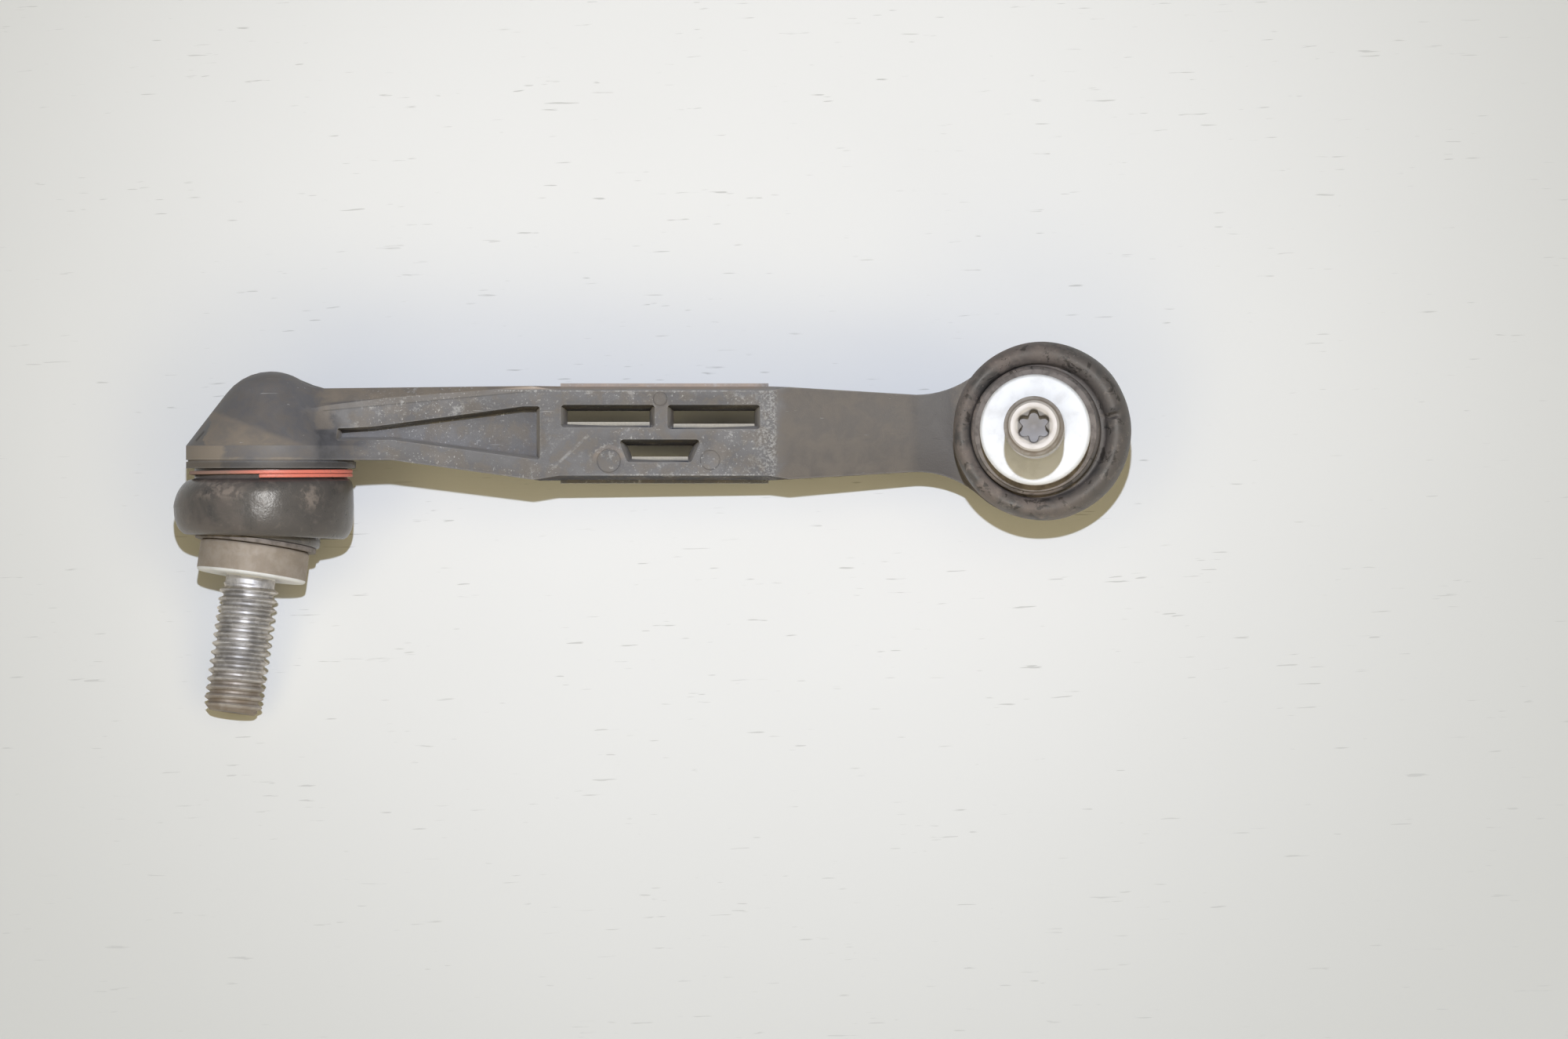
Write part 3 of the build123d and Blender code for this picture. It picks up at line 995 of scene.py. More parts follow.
    def cup_film(self, g: ArmGraph) -> Socket:
        """Brown film on the left cup: a patch on its cone, the band's far end, thin streaks.

        Args:
            g: The material's graph.

        Returns:
            The film's share.
        """
        slope = g.total(g.side, g.product(g.ragged, self.cone_slope))
        cone = g.product(g.mask(g.ragged, *self.cone_start), g.mask(g.side, *self.cone_low),
                         g.mask(slope, *self.cone_high, Limit.FALL),
                         g.shade(g.patchy, *self.cone_cover))
        band = g.product(g.mask(g.side, *self.band_high, Limit.FALL),
                         g.mask(g.ragged, *self.band_end, Limit.FALL), self.band_share)
        streak = g.product(g.between(g.side, *self.streak),
                           g.mask(g.ragged, *self.streak_end, Limit.FALL), g.patchy,
                           self.streak_share)
        around = g.product(g.mask(g.ragged, *self.cup_film_end, Limit.FALL), g.patchy,
                           self.cup_film_share)
        return g.either(cone, band, streak, around)

    def arm_film(self, g: ArmGraph) -> Socket:
        """Brown film on the arm: bevel (also painted light) and fold, root by the cup, bare half, flare,
        middle.

        Args:
            g: The material's graph.

        Returns:
            The film's share.
        """
        # on the bevel's tilted facet the full film is also painted light, lifting the facet to the face's
        # brightness
        folded = g.product(g.mask(g.above(self.fold_slope), *self.fold_edge), self.fold_film)
        bevel = g.product(g.between(g.ragged, *self.bevel), g.shade(g.patchy, *self.bevel_cover),
                          g.either(g.mask(g.above(self.bevel_slope), *self.bevel_edge), folded))
        root = g.product(g.between(g.ragged, *self.root), g.mask(g.side, *self.root_low),
                         self.root_share)
        bare = g.product(g.between(g.ragged, *self.bare_half),
                         g.shade(g.patchy, *self.bare_cover), self.bare_share)
        flare = g.product(g.mask(g.ragged, *self.flare_start), g.shade(g.side, *self.flare_side),
                          g.shade(g.patchy, *self.flare_cover), self.flare_share)
        middle = g.product(g.between(g.along, *self.middle),
                           g.mask(g.patchy, *self.middle_patches), self.middle_share)
        return g.either(bevel, root, bare, flare, middle)

    def ochre_dirt(self, g: ArmGraph) -> Socket:
        """Ochre dirt along the upper rib and round the lower half of the first pin mark.

        Args:
            g: The material's graph.

        Returns:
            The dirt's share.
        """
        rib = g.product(g.between(g.along, *self.rib), g.mask(g.side, *self.rib_low),
                        g.shade(g.cloud, *self.ochre_cover))
        x, y, _ = self.pin_marks[0]
        ring = g.product(g.between(g.around(x, y), *self.mark_ring),
                         g.mask(g.side, *self.mark_low), g.shade(g.cloud, *self.ochre_cover))
        return g.either(g.product(rib, self.rib_share), g.product(ring, self.mark_share))

    def pin_circles(self, g: ArmGraph) -> Socket:
        """Fine circles that the ejector pins left on the face.

        Args:
            g: The material's graph.

        Returns:
            The mask.
        """
        circles = [g.between(g.around(x, y), radius - self.pin_line, radius + self.pin_line,
                             self.pin_soft) for x, y, radius in self.pin_marks]
        return g.either(*circles)

    def black_dirt_and_shade(self, g: ArmGraph, nick: Socket, circles: Socket) -> Socket:
        """Painted shade in creases, under the flange and in the fold; soot in the nick and pin circles.

        Args:
            g: The material's graph.
            nick: Mask of the nick in the cup.
            circles: Mask of the pin circles.

        Returns:
            The share of soot and painted shade.
        """
        # painted shade: creases, the fold beside the bevel and the flange's underside are darkened
        creases = g.mask(g.crevice(self.crease_depth), *self.creases)
        fold = g.product(g.between(g.above(self.fold_slope), *self.fold),
                         g.between(g.along, *self.fold_reach), self.fold_share)
        flange = g.product(g.between(g.side, *self.flange),
                           g.mask(g.along, *self.flange_end, Limit.FALL))
        return g.either(g.product(creases, self.crease_share), g.product(nick, self.nick_share),
                        g.product(flange, self.flange_share), fold,
                        g.product(circles, self.pin_share))

    def wear(self, g: ArmGraph, lines: Socket) -> Socket:
        """Pale wear on edges, crest and rims, specks, bruises, one long scuff and scratches.

        Args:
            g: The material's graph.
            lines: Mask of the scratches.

        Returns:
            The wear's share.
        """
        edges = g.product(g.mask(g.crevice(self.edge_depth, inside=True), *self.edges),
                          g.shade(g.fine, 0.0, 1.0))
        crest = g.product(g.mask(g.ragged, self.crest - self.crest_wear, self.crest),
                          g.mask(g.along, self.crest, self.crest + self.crest_edge, Limit.FALL),
                          g.mask(g.grit, *self.crest_grit))
        lower_rim = g.product(g.between(g.side, *self.lower_rim),
                              g.mask(g.along, *self.lower_rim_start))
        rims = g.product(g.either(g.between(g.side, *self.upper_rim), lower_rim),
                         g.between(g.along, *self.rim_reach), g.mask(g.grit, *self.rim_grit))
        specks = g.product(g.mask(g.grit, *self.speck_grit), g.mask(g.blotch, *self.speck_blotches),
                           g.between(g.along, *self.speck_reach))
        bruises = g.product(g.mask(g.noise(self.bruise), *self.bruise_bounds),
                            g.mask(g.noise(self.bruise_groups), *self.bruise_group_bounds),
                            g.between(g.along, *self.bruise_reach))
        scuff = g.product(g.line(*self.scuff, self.scuff_width), g.mask(g.fine, *self.scuff_breaks))
        return g.either(g.product(edges, self.edge_share), g.product(crest, self.crest_share),
                        g.product(specks, self.speck_share), g.product(bruises, self.bruise_share),
                        g.product(scuff, self.scuff_share), g.product(lines, self.scratch_share),
                        g.product(rims, self.rim_share))

    def ledges(self, g: ArmGraph) -> Socket:
        """Ledges half-way down the slots: bare glass fibres, with a painted highlight for their sparkle.

        Args:
            g: The material's graph.

        Returns:
            Their cover, uneven with the grit.
        """
        slots, (soft_along, soft_across) = self.slots, self.ledge_soft
        mask = g.product(g.between(g.along, slots.start, slots.end, soft_along),
                         g.mask(g.facing(UP), *self.ledge_facing),
                         g.between(g.side, -slots.half, slots.half, soft_across),
                         g.between(g.height, *self.ledge_heights))
        return g.product(mask, g.shade(g.grit, *self.ledge_cover))

    def build(self) -> bpy.types.Material:
        """Lays film, dirt and painted shade, wear, and bare fibres with a painted highlight, in that order.

        Returns:
            The material.
        """
        g = ArmGraph("worn moulded plastic")
        steep = self.steep(g)
        film = g.either(self.cup_film(g), self.arm_film(g))
        nick = g.line(*self.nick, self.nick_width)
        circles = self.pin_circles(g)
        lines = g.either(*[g.scratches(kind) for kind in self.scratches])
        colour = g.mix(film, self.ground(g, steep), self.dust)
        colour = g.mix(self.ochre_dirt(g), colour, self.ochre)
        # soot, and painted shade in creases, the fold and under the flange
        colour = g.mix(self.black_dirt_and_shade(g, nick, circles), colour, self.soot_and_shade)
        colour = g.mix(self.wear(g, lines), colour, self.scuffed)
        # bare fibres on the ledges, made pale partly as a painted highlight
        colour = g.mix(self.ledges(g), colour, self.bare_fibres_and_glint)

        rough = g.total(g.shade(g.cloud, *self.smoothness), g.product(film, self.film_rough))
        relief = g.total(g.product(g.grain, self.grain_relief),
                         g.total(g.product(g.cloud, self.cloud_relief),
                                 g.product(g.fine, self.fine_relief)))
        marks = g.product(g.either(lines, nick, circles), self.mark_relief)
        normal = g.bump(g.calc("SUBTRACT", relief, marks), self.relief_depth)
        return g.finish(colour, rough, 0.0, normal, g.product(g.rest(steep), self.specular))


@dataclass(frozen=True)
class DustyRubber:
    """Boot rubber with road dust, rubbed clean on one side and stained or crumby where it is."""

    place: Place
    dust_share: float = 0.7
    shine: Bounds = (0.0, 1.0)       # along the arm, where the rubber gets cleaner
    stains: float = 0.0
    crumbs: float = 0.0
    gloss: float = 0.0
    patches: tuple[Patch, ...] = ()

    clean: Colour = tone(75, 73, 72)
    dust: Colour = tone(124, 113, 107)
    pale: Colour = tone(146, 135, 127)
    # black of oil stains, and painted shade in the creases
    black: Colour = tone(30, 28, 27)

    cloud: Pattern = Pattern(5.0, 5.0, 0.6, 0.5)
    blotch: Pattern = Pattern(1.6, 5.0, 0.65, 0.3)
    grain: Pattern = Pattern(0.3, 3.0, 0.6)
    shine_wander: Bounds = (-5.0, 5.0)
    shine_share: float = 0.65
    film_clouds: Bounds = (0.32, 0.58)
    film_cover: Bounds = (0.5, 1.0)
    crumb: Pattern = Pattern(0.45, 3.0, 0.6)
    crumb_bounds: Bounds = (0.62, 0.7)
    crumb_groups: Pattern = Pattern(2.8)
    crumb_group_bounds: Bounds = (0.48, 0.6)
    patch_wander: Bounds = (-3.5, 3.5)
    patch_rise: Bounds = (-2.0, 2.0)
    patch_soft: float = 1.2
    patch_soft_rise: float = 0.9
    patch_bounds: Bounds = (0.42, 0.6)
    patch_share: float = 0.6
    spot_bounds: Bounds = (0.5, 0.68)
    spot_groups: Pattern = Pattern(3.5)
    spot_group_bounds: Bounds = (0.46, 0.6)
    spot_share: float = 0.5
    oil: Pattern = Pattern(2.4, 5.0, 0.65, 0.6)
    oil_bounds: Bounds = (0.56, 0.62)
    # painted shade in the creases
    crease_depth: float = 0.8
    creases: Bounds = (0.35, 0.85)
    crease_share: float = 0.45
    smoothness: Bounds = (0.42, 0.52)
    film_rough: float = 0.35
    oil_gloss: float = 0.15
    blotch_relief: float = 0.8
    grain_relief: float = 0.3
    crumb_relief: float = 0.5
    relief_depth: float = 0.09

    def stuck_dust(self, g: Graph, along: Socket, blotch: Socket) -> list[Socket]:
        """Pale dust that sticks in single patches.

        Args:
            g: The material's graph.
            along: Place along the arm.
            blotch: The pattern that frays the patches.

        Returns:
            One share for each patch.
        """
        height = g.measure(self.place.ball, self.place.opening)
        drift = g.total(along, g.shade(blotch, *self.patch_wander))
        rise = g.total(height, g.shade(blotch, *self.patch_rise))
        frayed = g.mask(blotch, *self.patch_bounds)
        return [g.product(g.product(g.between(drift, patch.start, patch.end, self.patch_soft),
                                    g.between(rise, patch.low, patch.high, self.patch_soft_rise)),
                          frayed, self.patch_share) for patch in self.patches]

    def build(self) -> bpy.types.Material:
        """Dust in patches, painted shade in the creases, black stains, and a satin sheen where it is clean.

        Returns:
            The material.
        """
        g = Graph(self.place.named("boot rubber"))
        along = g.measure(self.place.ball, self.place.along)
        cloud, blotch, grain = g.noise(self.cloud), g.noise(self.blotch), g.noise(self.grain)
        drift = g.total(along, g.shade(cloud, *self.shine_wander))
        rubbed = g.product(g.mask(drift, *self.shine), self.shine_share)
        film = g.product(g.mask(cloud, *self.film_clouds), g.shade(blotch, *self.film_cover),
                         self.dust_share, g.rest(rubbed))
        crumbs = g.product(g.mask(g.noise(self.crumb), *self.crumb_bounds),
                           g.mask(g.noise(self.crumb_groups), *self.crumb_group_bounds),
                           self.crumbs)
        spots = g.product(g.mask(blotch, *self.spot_bounds),
                          g.mask(g.noise(self.spot_groups), *self.spot_group_bounds),
                          self.dust_share)
        oil = g.product(g.mask(g.noise(self.oil), *self.oil_bounds), self.stains)
        # painted shade in the creases
        creases = g.mask(g.crevice(self.crease_depth), *self.creases)

        colour = g.mix(film, self.clean, self.dust)
        light = g.either(g.product(spots, self.spot_share), crumbs,
                         *self.stuck_dust(g, along, blotch))
        colour = g.mix(light, colour, self.pale)
        # painted shade in the creases, and oil stains
        colour = g.mix(g.either(g.product(creases, self.crease_share), oil), colour, self.black)
        low, high = (bound - self.gloss for bound in self.smoothness)
        dull = g.calc("SUBTRACT", g.product(film, self.film_rough), g.product(oil, self.oil_gloss))
        rough = g.total(g.shade(blotch, low, high), dull)
        relief = g.total(g.product(blotch, self.blotch_relief),
                         g.total(g.product(grain, self.grain_relief),
                                 g.product(crumbs, self.crumb_relief)))
        return g.finish(colour, rough, 0.0, g.bump(relief, self.relief_depth))


@dataclass(frozen=True)
class PlatedSteel:
    """Zinc-plated steel of a stud: bright seat, brown film on the collar, dirt and painted shade in the
    thread.
    """

    place: Place
    clean_tip: float = 0.0
    at: StudHeights = StudHeights()

    zinc: Colour = tone(210, 207, 204)
    worn: Colour = tone(172, 169, 167)
    recess: Colour = tone(138, 134, 132)
    film: Colour = tone(142, 128, 112)
    rust: Colour = tone(118, 102, 84)
    # grime, and painted shade in the thread's roots
    soot_and_shade: Colour = tone(92, 89, 86)
    bright: Colour = tone(204, 197, 190)
    polished: Colour = tone(226, 226, 226)

    cloud: Pattern = Pattern(2.6, 5.0, 0.6, 0.4)
    blotch: Pattern = Pattern(0.8, 4.0, 0.65)
    grain: Pattern = Pattern(0.12, 2.0, 0.5)
    worn_clouds: Bounds = (0.4, 0.62)
    collar_ends: Span = (-3.0, -0.4, 0.2)    # from the collar's start and from the seat
    collar_film: float = 0.92
    collar_cover: Bounds = (0.75, 1.0)
    # grime and painted shade in the thread's roots
    root_radius: Bounds = (4.3, 4.6)
    root_rise: Bounds = (0.6, 2.0)           # from the undercut's end
    root_cover: Bounds = (0.3, 1.0)
    root_share: float = 0.6
    root_dirt: float = 0.5
    tip_rise: Bounds = (-9.0, -1.5)          # from the tip, like the next two rises
    tip_bore: Bounds = (2.9, 3.2)
    tip_cover: Bounds = (0.5, 1.0)
    tip_share: float = 0.85
    rim_rise: Bounds = (-0.5, -0.25)
    rim_bore: Bounds = (2.4, 2.8)
    socket_rise: Bounds = (-5.0, -4.5)
    socket_bore: Bounds = (2.9, 3.1)
    spot_ends: Span = (2.0, -1.0, 1.0)       # from the seat and from the tip
    spot_bounds: Bounds = (0.6, 0.68)
    spot_share: float = 0.35
    face_ends: Span = (-0.5, 0.15, 0.05)     # both from the seat
    face_cover: Bounds = (1.4, 0.5)
    neck_ends: Span = (0.15, 0.4, 0.1)       # from the seat and from the undercut's end
    metal_losses: tuple[float, ...] = (0.92, 0.5, 0.8, 0.7)     # dirt, rim, face, socket
    dull_parts: tuple[float, ...] = (0.5, 0.6, 0.5, 0.6)        # face, rim, socket, neck
    smoothness: Bounds = (0.34, 0.46)
    dull_share: float = 0.35
    grain_relief: float = 0.35
    blotch_relief: float = 0.5
    relief_depth: float = 0.03

    def build(self) -> bpy.types.Material:
        """Masks counted along the stud's axis and out from it.

        Returns:
            The material.
        """
        g = Graph(self.place.named("plated steel"))
        at = self.at
        height = g.measure(self.place.ball, self.place.stud)
        reach = g.reach(self.place.ball, self.place.stud)
        cloud, blotch, grain = g.noise(self.cloud), g.noise(self.blotch), g.noise(self.grain)

        def rise(level: float, bounds: Bounds) -> Socket:
            """Smooth step near one height of the stud."""
            return g.mask(height, level + bounds[0], level + bounds[1])

        def stretch(low: float, high: float, ends: Span) -> Socket:
            """Mask from near one height of the stud to near another."""
            return g.between(height, low + ends[0], high + ends[1], ends[2])

        collar = g.product(stretch(at.collar_start, at.seat, self.collar_ends),
                           self.collar_film, g.shade(blotch, *self.collar_cover))
        roots = g.product(g.mask(reach, *self.root_radius, Limit.FALL),
                          rise(at.undercut_end, self.root_rise),
                          g.shade(cloud, *self.root_cover))
        tip = g.product(rise(at.tip, self.tip_rise), g.mask(reach, *self.tip_bore),
                        g.shade(cloud, *self.tip_cover), self.tip_share)
        spots = g.product(g.mask(blotch, *self.spot_bounds),
                          stretch(at.seat, at.tip, self.spot_ends), self.spot_share)
        rim = g.product(rise(at.tip, self.rim_rise), g.mask(reach, *self.rim_bore),
                        self.clean_tip)
        socket = g.product(rise(at.tip, self.socket_rise),
                           g.mask(reach, *self.socket_bore, Limit.FALL))
        face = stretch(at.seat, at.seat, self.face_ends)
        neck = stretch(at.seat, at.undercut_end, self.neck_ends)

        colour = g.mix(g.mask(cloud, *self.worn_clouds), self.zinc, self.worn)
        # grime and painted shade in the thread's roots
        colour = g.mix(g.product(roots, self.root_share), colour, self.soot_and_shade)
        colour = g.mix(g.either(collar, tip), colour, self.film)
        colour = g.mix(g.either(spots, g.product(roots, tip)), colour, self.rust)
        colour = g.mix(g.product(face, g.shade(cloud, *self.face_cover)), colour, self.polished)
        colour = g.mix(rim, colour, self.bright)
        colour = g.mix(g.product(socket, g.rest(rim)), colour, self.recess)

        dirt = g.either(collar, tip, g.product(roots, self.root_dirt), spots)
        losses = zip((dirt, rim, face, socket), self.metal_losses)
        metal = g.rest(g.either(*[g.product(part, share) for part, share in losses]))
        dulled = zip((face, rim, socket, neck), self.dull_parts)
        dull = g.either(dirt, *[g.product(part, share) for part, share in dulled])
        rough = g.total(g.shade(cloud, *self.smoothness), g.product(dull, self.dull_share))
        relief = g.total(g.product(grain, self.grain_relief), g.product(blotch, self.blotch_relief))
        return g.finish(colour, rough, metal, g.bump(relief, self.relief_depth))


@dataclass(frozen=True)
class RedCoat:
    """Red coat of a clamp ring, browned by dirt away from the arm."""

    place: Place
    red: Colour = tone(232, 124, 108)
    brown: Colour = tone(140, 120, 110)
    cloud: Pattern = Pattern(2.2, 4.0, 0.6)
    wander: Bounds = (-3.0, 3.0)
    dirty_side: Bounds = (-9.0, 3.0)
    chip: Pattern = Pattern(0.5)
    chip_bounds: Bounds = (0.5, 0.7)
    chip_share: float = 0.5
    least_dirt: float = 0.15
    most_dirt: float = 0.92
    smoothness: Bounds = (0.4, 0.7)
    grain: Pattern = Pattern(0.25, 3.0)
    relief_depth: float = 0.03

    def build(self) -> bpy.types.Material:
        """Red near the arm, brown on the far side.

        Returns:
            The material.
        """
        g = Graph(self.place.named("clamp coat"))
        along = g.measure(self.place.ball, self.place.along)
        drift = g.total(along, g.shade(g.noise(self.cloud), *self.wander))
        chips = g.product(g.mask(g.noise(self.chip), *self.chip_bounds), self.chip_share)
        dirt = g.either(g.mask(drift, *self.dirty_side, Limit.FALL), chips, self.least_dirt)
        colour = g.mix(g.product(dirt, self.most_dirt), self.red, self.brown)
        normal = g.bump(g.noise(self.grain), self.relief_depth)
        return g.finish(colour, g.shade(dirt, *self.smoothness), 0.0, normal)


@dataclass(frozen=True)
class PlainPolymer:
    """Fine-grained plastic or rubber of the small inner pieces."""

    name: str
    colour: Colour
    shadow: Colour
    rough: float
    rough_swing: float = 0.08
    cloud: Pattern = Pattern(1.8, 4.0, 0.6)
    shadow_clouds: Bounds = (0.4, 0.65)
    # painted shade in the creases
    crease_depth: float = 0.8
    creases: Bounds = (0.4, 0.9)
    crease_share: float = 0.4
    grain: Pattern = Pattern(0.2, 3.0)
    relief_depth: float = 0.02

    def build(self) -> bpy.types.Material:
        """One colour broken by a fine cloud, with painted shade in the creases.

        Returns:
            The material.
        """
        g = Graph(self.name)
        cloud = g.noise(self.cloud)
        colour = g.mix(g.mask(cloud, *self.shadow_clouds), self.colour, self.shadow)
        # painted shade in the creases
        creases = g.mask(g.crevice(self.crease_depth), *self.creases)
        colour = g.mix(g.product(creases, self.crease_share), colour, self.shadow)
        rough = g.shade(cloud, self.rough - self.rough_swing, self.rough + self.rough_swing)
        return g.finish(colour, rough, 0.0, g.bump(g.noise(self.grain), self.relief_depth))


@dataclass
class Stud:
    """One forged ball stud with a rolled thread and a six-lobe socket."""

    place: Place
    finish: PlatedSteel
    at: StudHeights = StudHeights()
    ball_radius: float = 6.5
    ball_flat: float = 6.1
    ball_steps: int = 20
    neck_radius: float = 4.0
    neck_ease: float = 0.3
    land_radius: float = 7.0
    land_root: float = 0.25
    land_round: float = 0.2
    land_drop: float = 0.15
    collar_radius: float = 9.2
    collar_round: float = 0.55
    collar_steps: int = 4
    collar_margin: float = 0.4       # rings this near a rounding keep the faces beside it flat
    collar_foot: float = 0.5
    seat_margin: float = 1.2
    seat_relief_radius: float = 5.25
    seat_relief_depth: float = 0.4
    seat_relief_round: float = 0.12
    seat_relief_drop: float = 0.06
    undercut_radius: float = 4.15
    undercut_round: float = 0.2
    crest_radius: float = 4.93
    crest_width: float = 0.24
    thread_depth: float = 0.78
    root_width: float = 0.36
    thread_ease: float = 0.06
    root_slant: float = 1.6
    pitch: float = 1.5
    run_in_slope: float = 1.2
    tip_chamfer: float = 1.1
    tip_round: float = 0.2
    socket_point: float = 2.76
    socket_valley: float = 1.98
    socket_lobes: int = 6
    socket_breadth: float = 0.18     # makes the lobes broad and the webs between them narrow
    socket_depth: float = 3.6
    socket_mouth_radius: float = 2.95
    socket_mouth_depth: float = 0.5
    socket_mouth: tuple[Point, ...] = ((0.45, 0.0), (0.2, -0.03), (-0.02, -0.13))
    socket_ease: float = 0.08
    socket_floor_round: float = 0.15
    socket_floor: tuple[Point, ...] = ((1.2, -0.05), (0.6, -0.2), (POLE, -0.3))
    socket_turn: float = 30.0
    sharp: float = 32.0
    steps: int = 96
    margin: float = 1e-4

    def thread_profile(self) -> list[Point]:
        """One pitch of the thread, from root to root.

        Returns:
            The points as radius and height.
        """
        root, top, ease = self.crest_radius - self.thread_depth, self.crest_radius, self.thread_ease
        start = self.root_width / 2
        crest = start + (self.pitch - self.crest_width - self.root_width) / 2
        slant = self.root_slant * ease
        half = [(root, 0.0), (root + ease / 2, start), (root + 2 * ease, start + slant),
                (top - 2 * ease, crest - ease), (top - ease / 2, crest + ease / 2)]
        mirrored = [(radius, self.pitch - height) for radius, height in reversed(half)]
        return [*half, (top, crest + self.crest_width / 2), *mirrored]

    def thread(self, name: str) -> bpy.types.Object:
        """Winds the thread's profile up the shank and trims it to length.

        Args:
            name: The piece's name.

        Returns:
            An open tube from the undercut's end to the tip.
        """
        profile = self.thread_profile()
        start = self.at.undercut_end - 2 * self.pitch
        turns = math.ceil((self.at.tip - start) / self.pitch) + 2
        Bench.deselect()
        bpy.ops.mesh.primitive_plane_add(size=1)
        obj = Bench.added(name)
        with Bench.editing(obj):
            bpy.ops.mesh.select_all(action="SELECT")
            bpy.ops.mesh.merge(type="CENTER")
            bpy.ops.transform.translate(value=(profile[0][0], 0, start + profile[0][1]))
            for (near, low), (far, high) in zip(profile, profile[1:]):
                step = {"value": (far - near, 0, high - low)}
                bpy.ops.mesh.extrude_region_move(TRANSFORM_OT_translate=step)
        Bench.apply(obj, "SCREW", angle=TURN, screw_offset=self.pitch, iterations=turns,
                    steps=self.steps, render_steps=self.steps, use_merge_vertices=True,
                    merge_threshold=self.margin, axis="Z")
        with Bench.editing(obj):
            Bench.merge(self.margin)
            for height, direction in ((self.at.undercut_end, -1), (self.at.tip, 1)):
                bpy.ops.mesh.select_all(action="SELECT")
                bpy.ops.mesh.bisect(plane_co=(0, 0, height), plane_no=(0, 0, direction),
                                    clear_outer=True)
        return obj

    def envelope(self, height: float) -> float:
        """Largest radius of the shank: run-in above the undercut, chamfer at the tip.

        Args:
            height: Height on the shank.

        Returns:
            The radius.
        """
        run_in = self.undercut_radius + (height - self.at.undercut_end) * self.run_in_slope
        chamfer = self.crest_radius - self.tip_chamfer + self.at.tip - height
        return min(run_in, chamfer)

    def trim_thread(self) -> None:
        """Keeps the thread inside its envelope, in edit mode."""
        for vertex in Bench.mesh().verts:
            reach = math.hypot(vertex.co.x, vertex.co.y)
            allowed = self.envelope(vertex.co.z)
            if reach > allowed:
                vertex.co.x *= allowed / reach
                vertex.co.y *= allowed / reach
        Bench.update()

    def socket(self, margin: float) -> Callable[[float], float]:
        """Six-lobe outline.

        Args:
            margin: How much wider than the socket the outline is.

        Returns:
            A function from angle to radius.
        """
        middle = (self.socket_point + self.socket_valley) / 2 + margin
        swing = (self.socket_point - self.socket_valley) / 2

        def outline(angle: float) -> float:
            """Radius at one angle."""
            trip = self.socket_lobes * (angle - math.radians(self.socket_turn))
            return middle + swing * (math.cos(trip) - self.socket_breadth * math.cos(2 * trip))

        return outline

    def lower_outline(self) -> list[Point]:
        """Section from the undercut over seat, collar, land and neck down to the ball.

        Returns:
            The points as radius and height.
        """
        at, bend, land, neck = self.at, self.collar_round, self.land_radius, self.neck_radius
        edge, top, bottom = self.collar_radius - bend, at.seat - bend, at.collar_start + bend
        relief, relief_round = self.seat_relief_radius, self.seat_relief_round
        relief_floor = at.seat - self.seat_relief_depth
        ball_start = math.degrees(math.acos(neck / self.ball_radius))
        ball_end = -math.degrees(math.asin(self.ball_flat / self.ball_radius))
        return [(self.undercut_radius, relief_floor + self.undercut_round),
                (self.undercut_radius + self.undercut_round, relief_floor + self.seat_relief_drop),
                (relief - relief_round, at.seat - self.seat_relief_drop),
                (relief + relief_round, at.seat), (edge - self.seat_margin, at.seat),
                *arc((edge, top), bend, 90, 0, self.collar_steps),
                (self.collar_radius, top - self.collar_margin),
                (self.collar_radius, bottom + self.collar_margin),
                *arc((edge, bottom), bend, 0, -90, self.collar_steps),
                (edge - self.collar_foot, at.collar_start),
                (land + self.land_root, at.collar_start), (land, at.collar_start - self.land_root),
                (land, at.land_start + self.land_round),
                (land - self.land_round, at.land_start - self.land_drop),
                (neck + self.neck_ease, at.neck_end + self.neck_ease),
                (neck, at.neck_end - self.neck_ease),
                *arc((0, 0), self.ball_radius, ball_start, ball_end, self.ball_steps),
                (POLE, -self.ball_flat)]

    def tip_outline(self) -> list[tuple[Radius, float]]:
        """Rings from the tip's edge over the mouth of the socket to its coned floor.

        Returns:
            Radius and height of each ring.
        """
        tip, ease = self.at.tip, self.socket_ease
        floor, mouth_end = tip - self.socket_depth, tip - self.socket_mouth_depth
        return [(self.crest_radius - self.tip_chamfer - self.tip_round, tip),
                *[(self.socket_mouth_radius + out, tip + up) for out, up in self.socket_mouth],
                (self.socket(ease), mouth_end + ease), (self.socket(0.0), mouth_end - ease),
                (self.socket(0.0), floor + self.socket_floor_round),
                (self.socket(-self.socket_floor_round), floor),
                *[(radius, floor + up) for radius, up in self.socket_floor]]

    def build(self) -> bpy.types.Object:
        """Models the stud: thread first, then ring by ring to the ball and into the socket.

        Returns:
            The closed piece, in place.
        """
        obj = self.thread(self.place.named("threaded_stud"))
        with Bench.editing(obj, "EDGE"):
            self.trim_thread()
            Bench.pick_rim(self.at.undercut_end)
            Bench.set_ring(self.undercut_radius, self.at.undercut_end)
            Bench.grow(self.lower_outline())
            bpy.ops.mesh.select_all(action="DESELECT")
            Bench.pick_rim(self.at.tip)
            Bench.grow(self.tip_outline())
            Bench.close_up(self.margin)
        Bench.smooth(obj, self.sharp)
        Bench.put(obj, self.place.frame(1.0))
        dress(obj, self.finish.build(), self.place.named("stud"))
        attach(obj, self.place.named("stud_body"))
        return obj


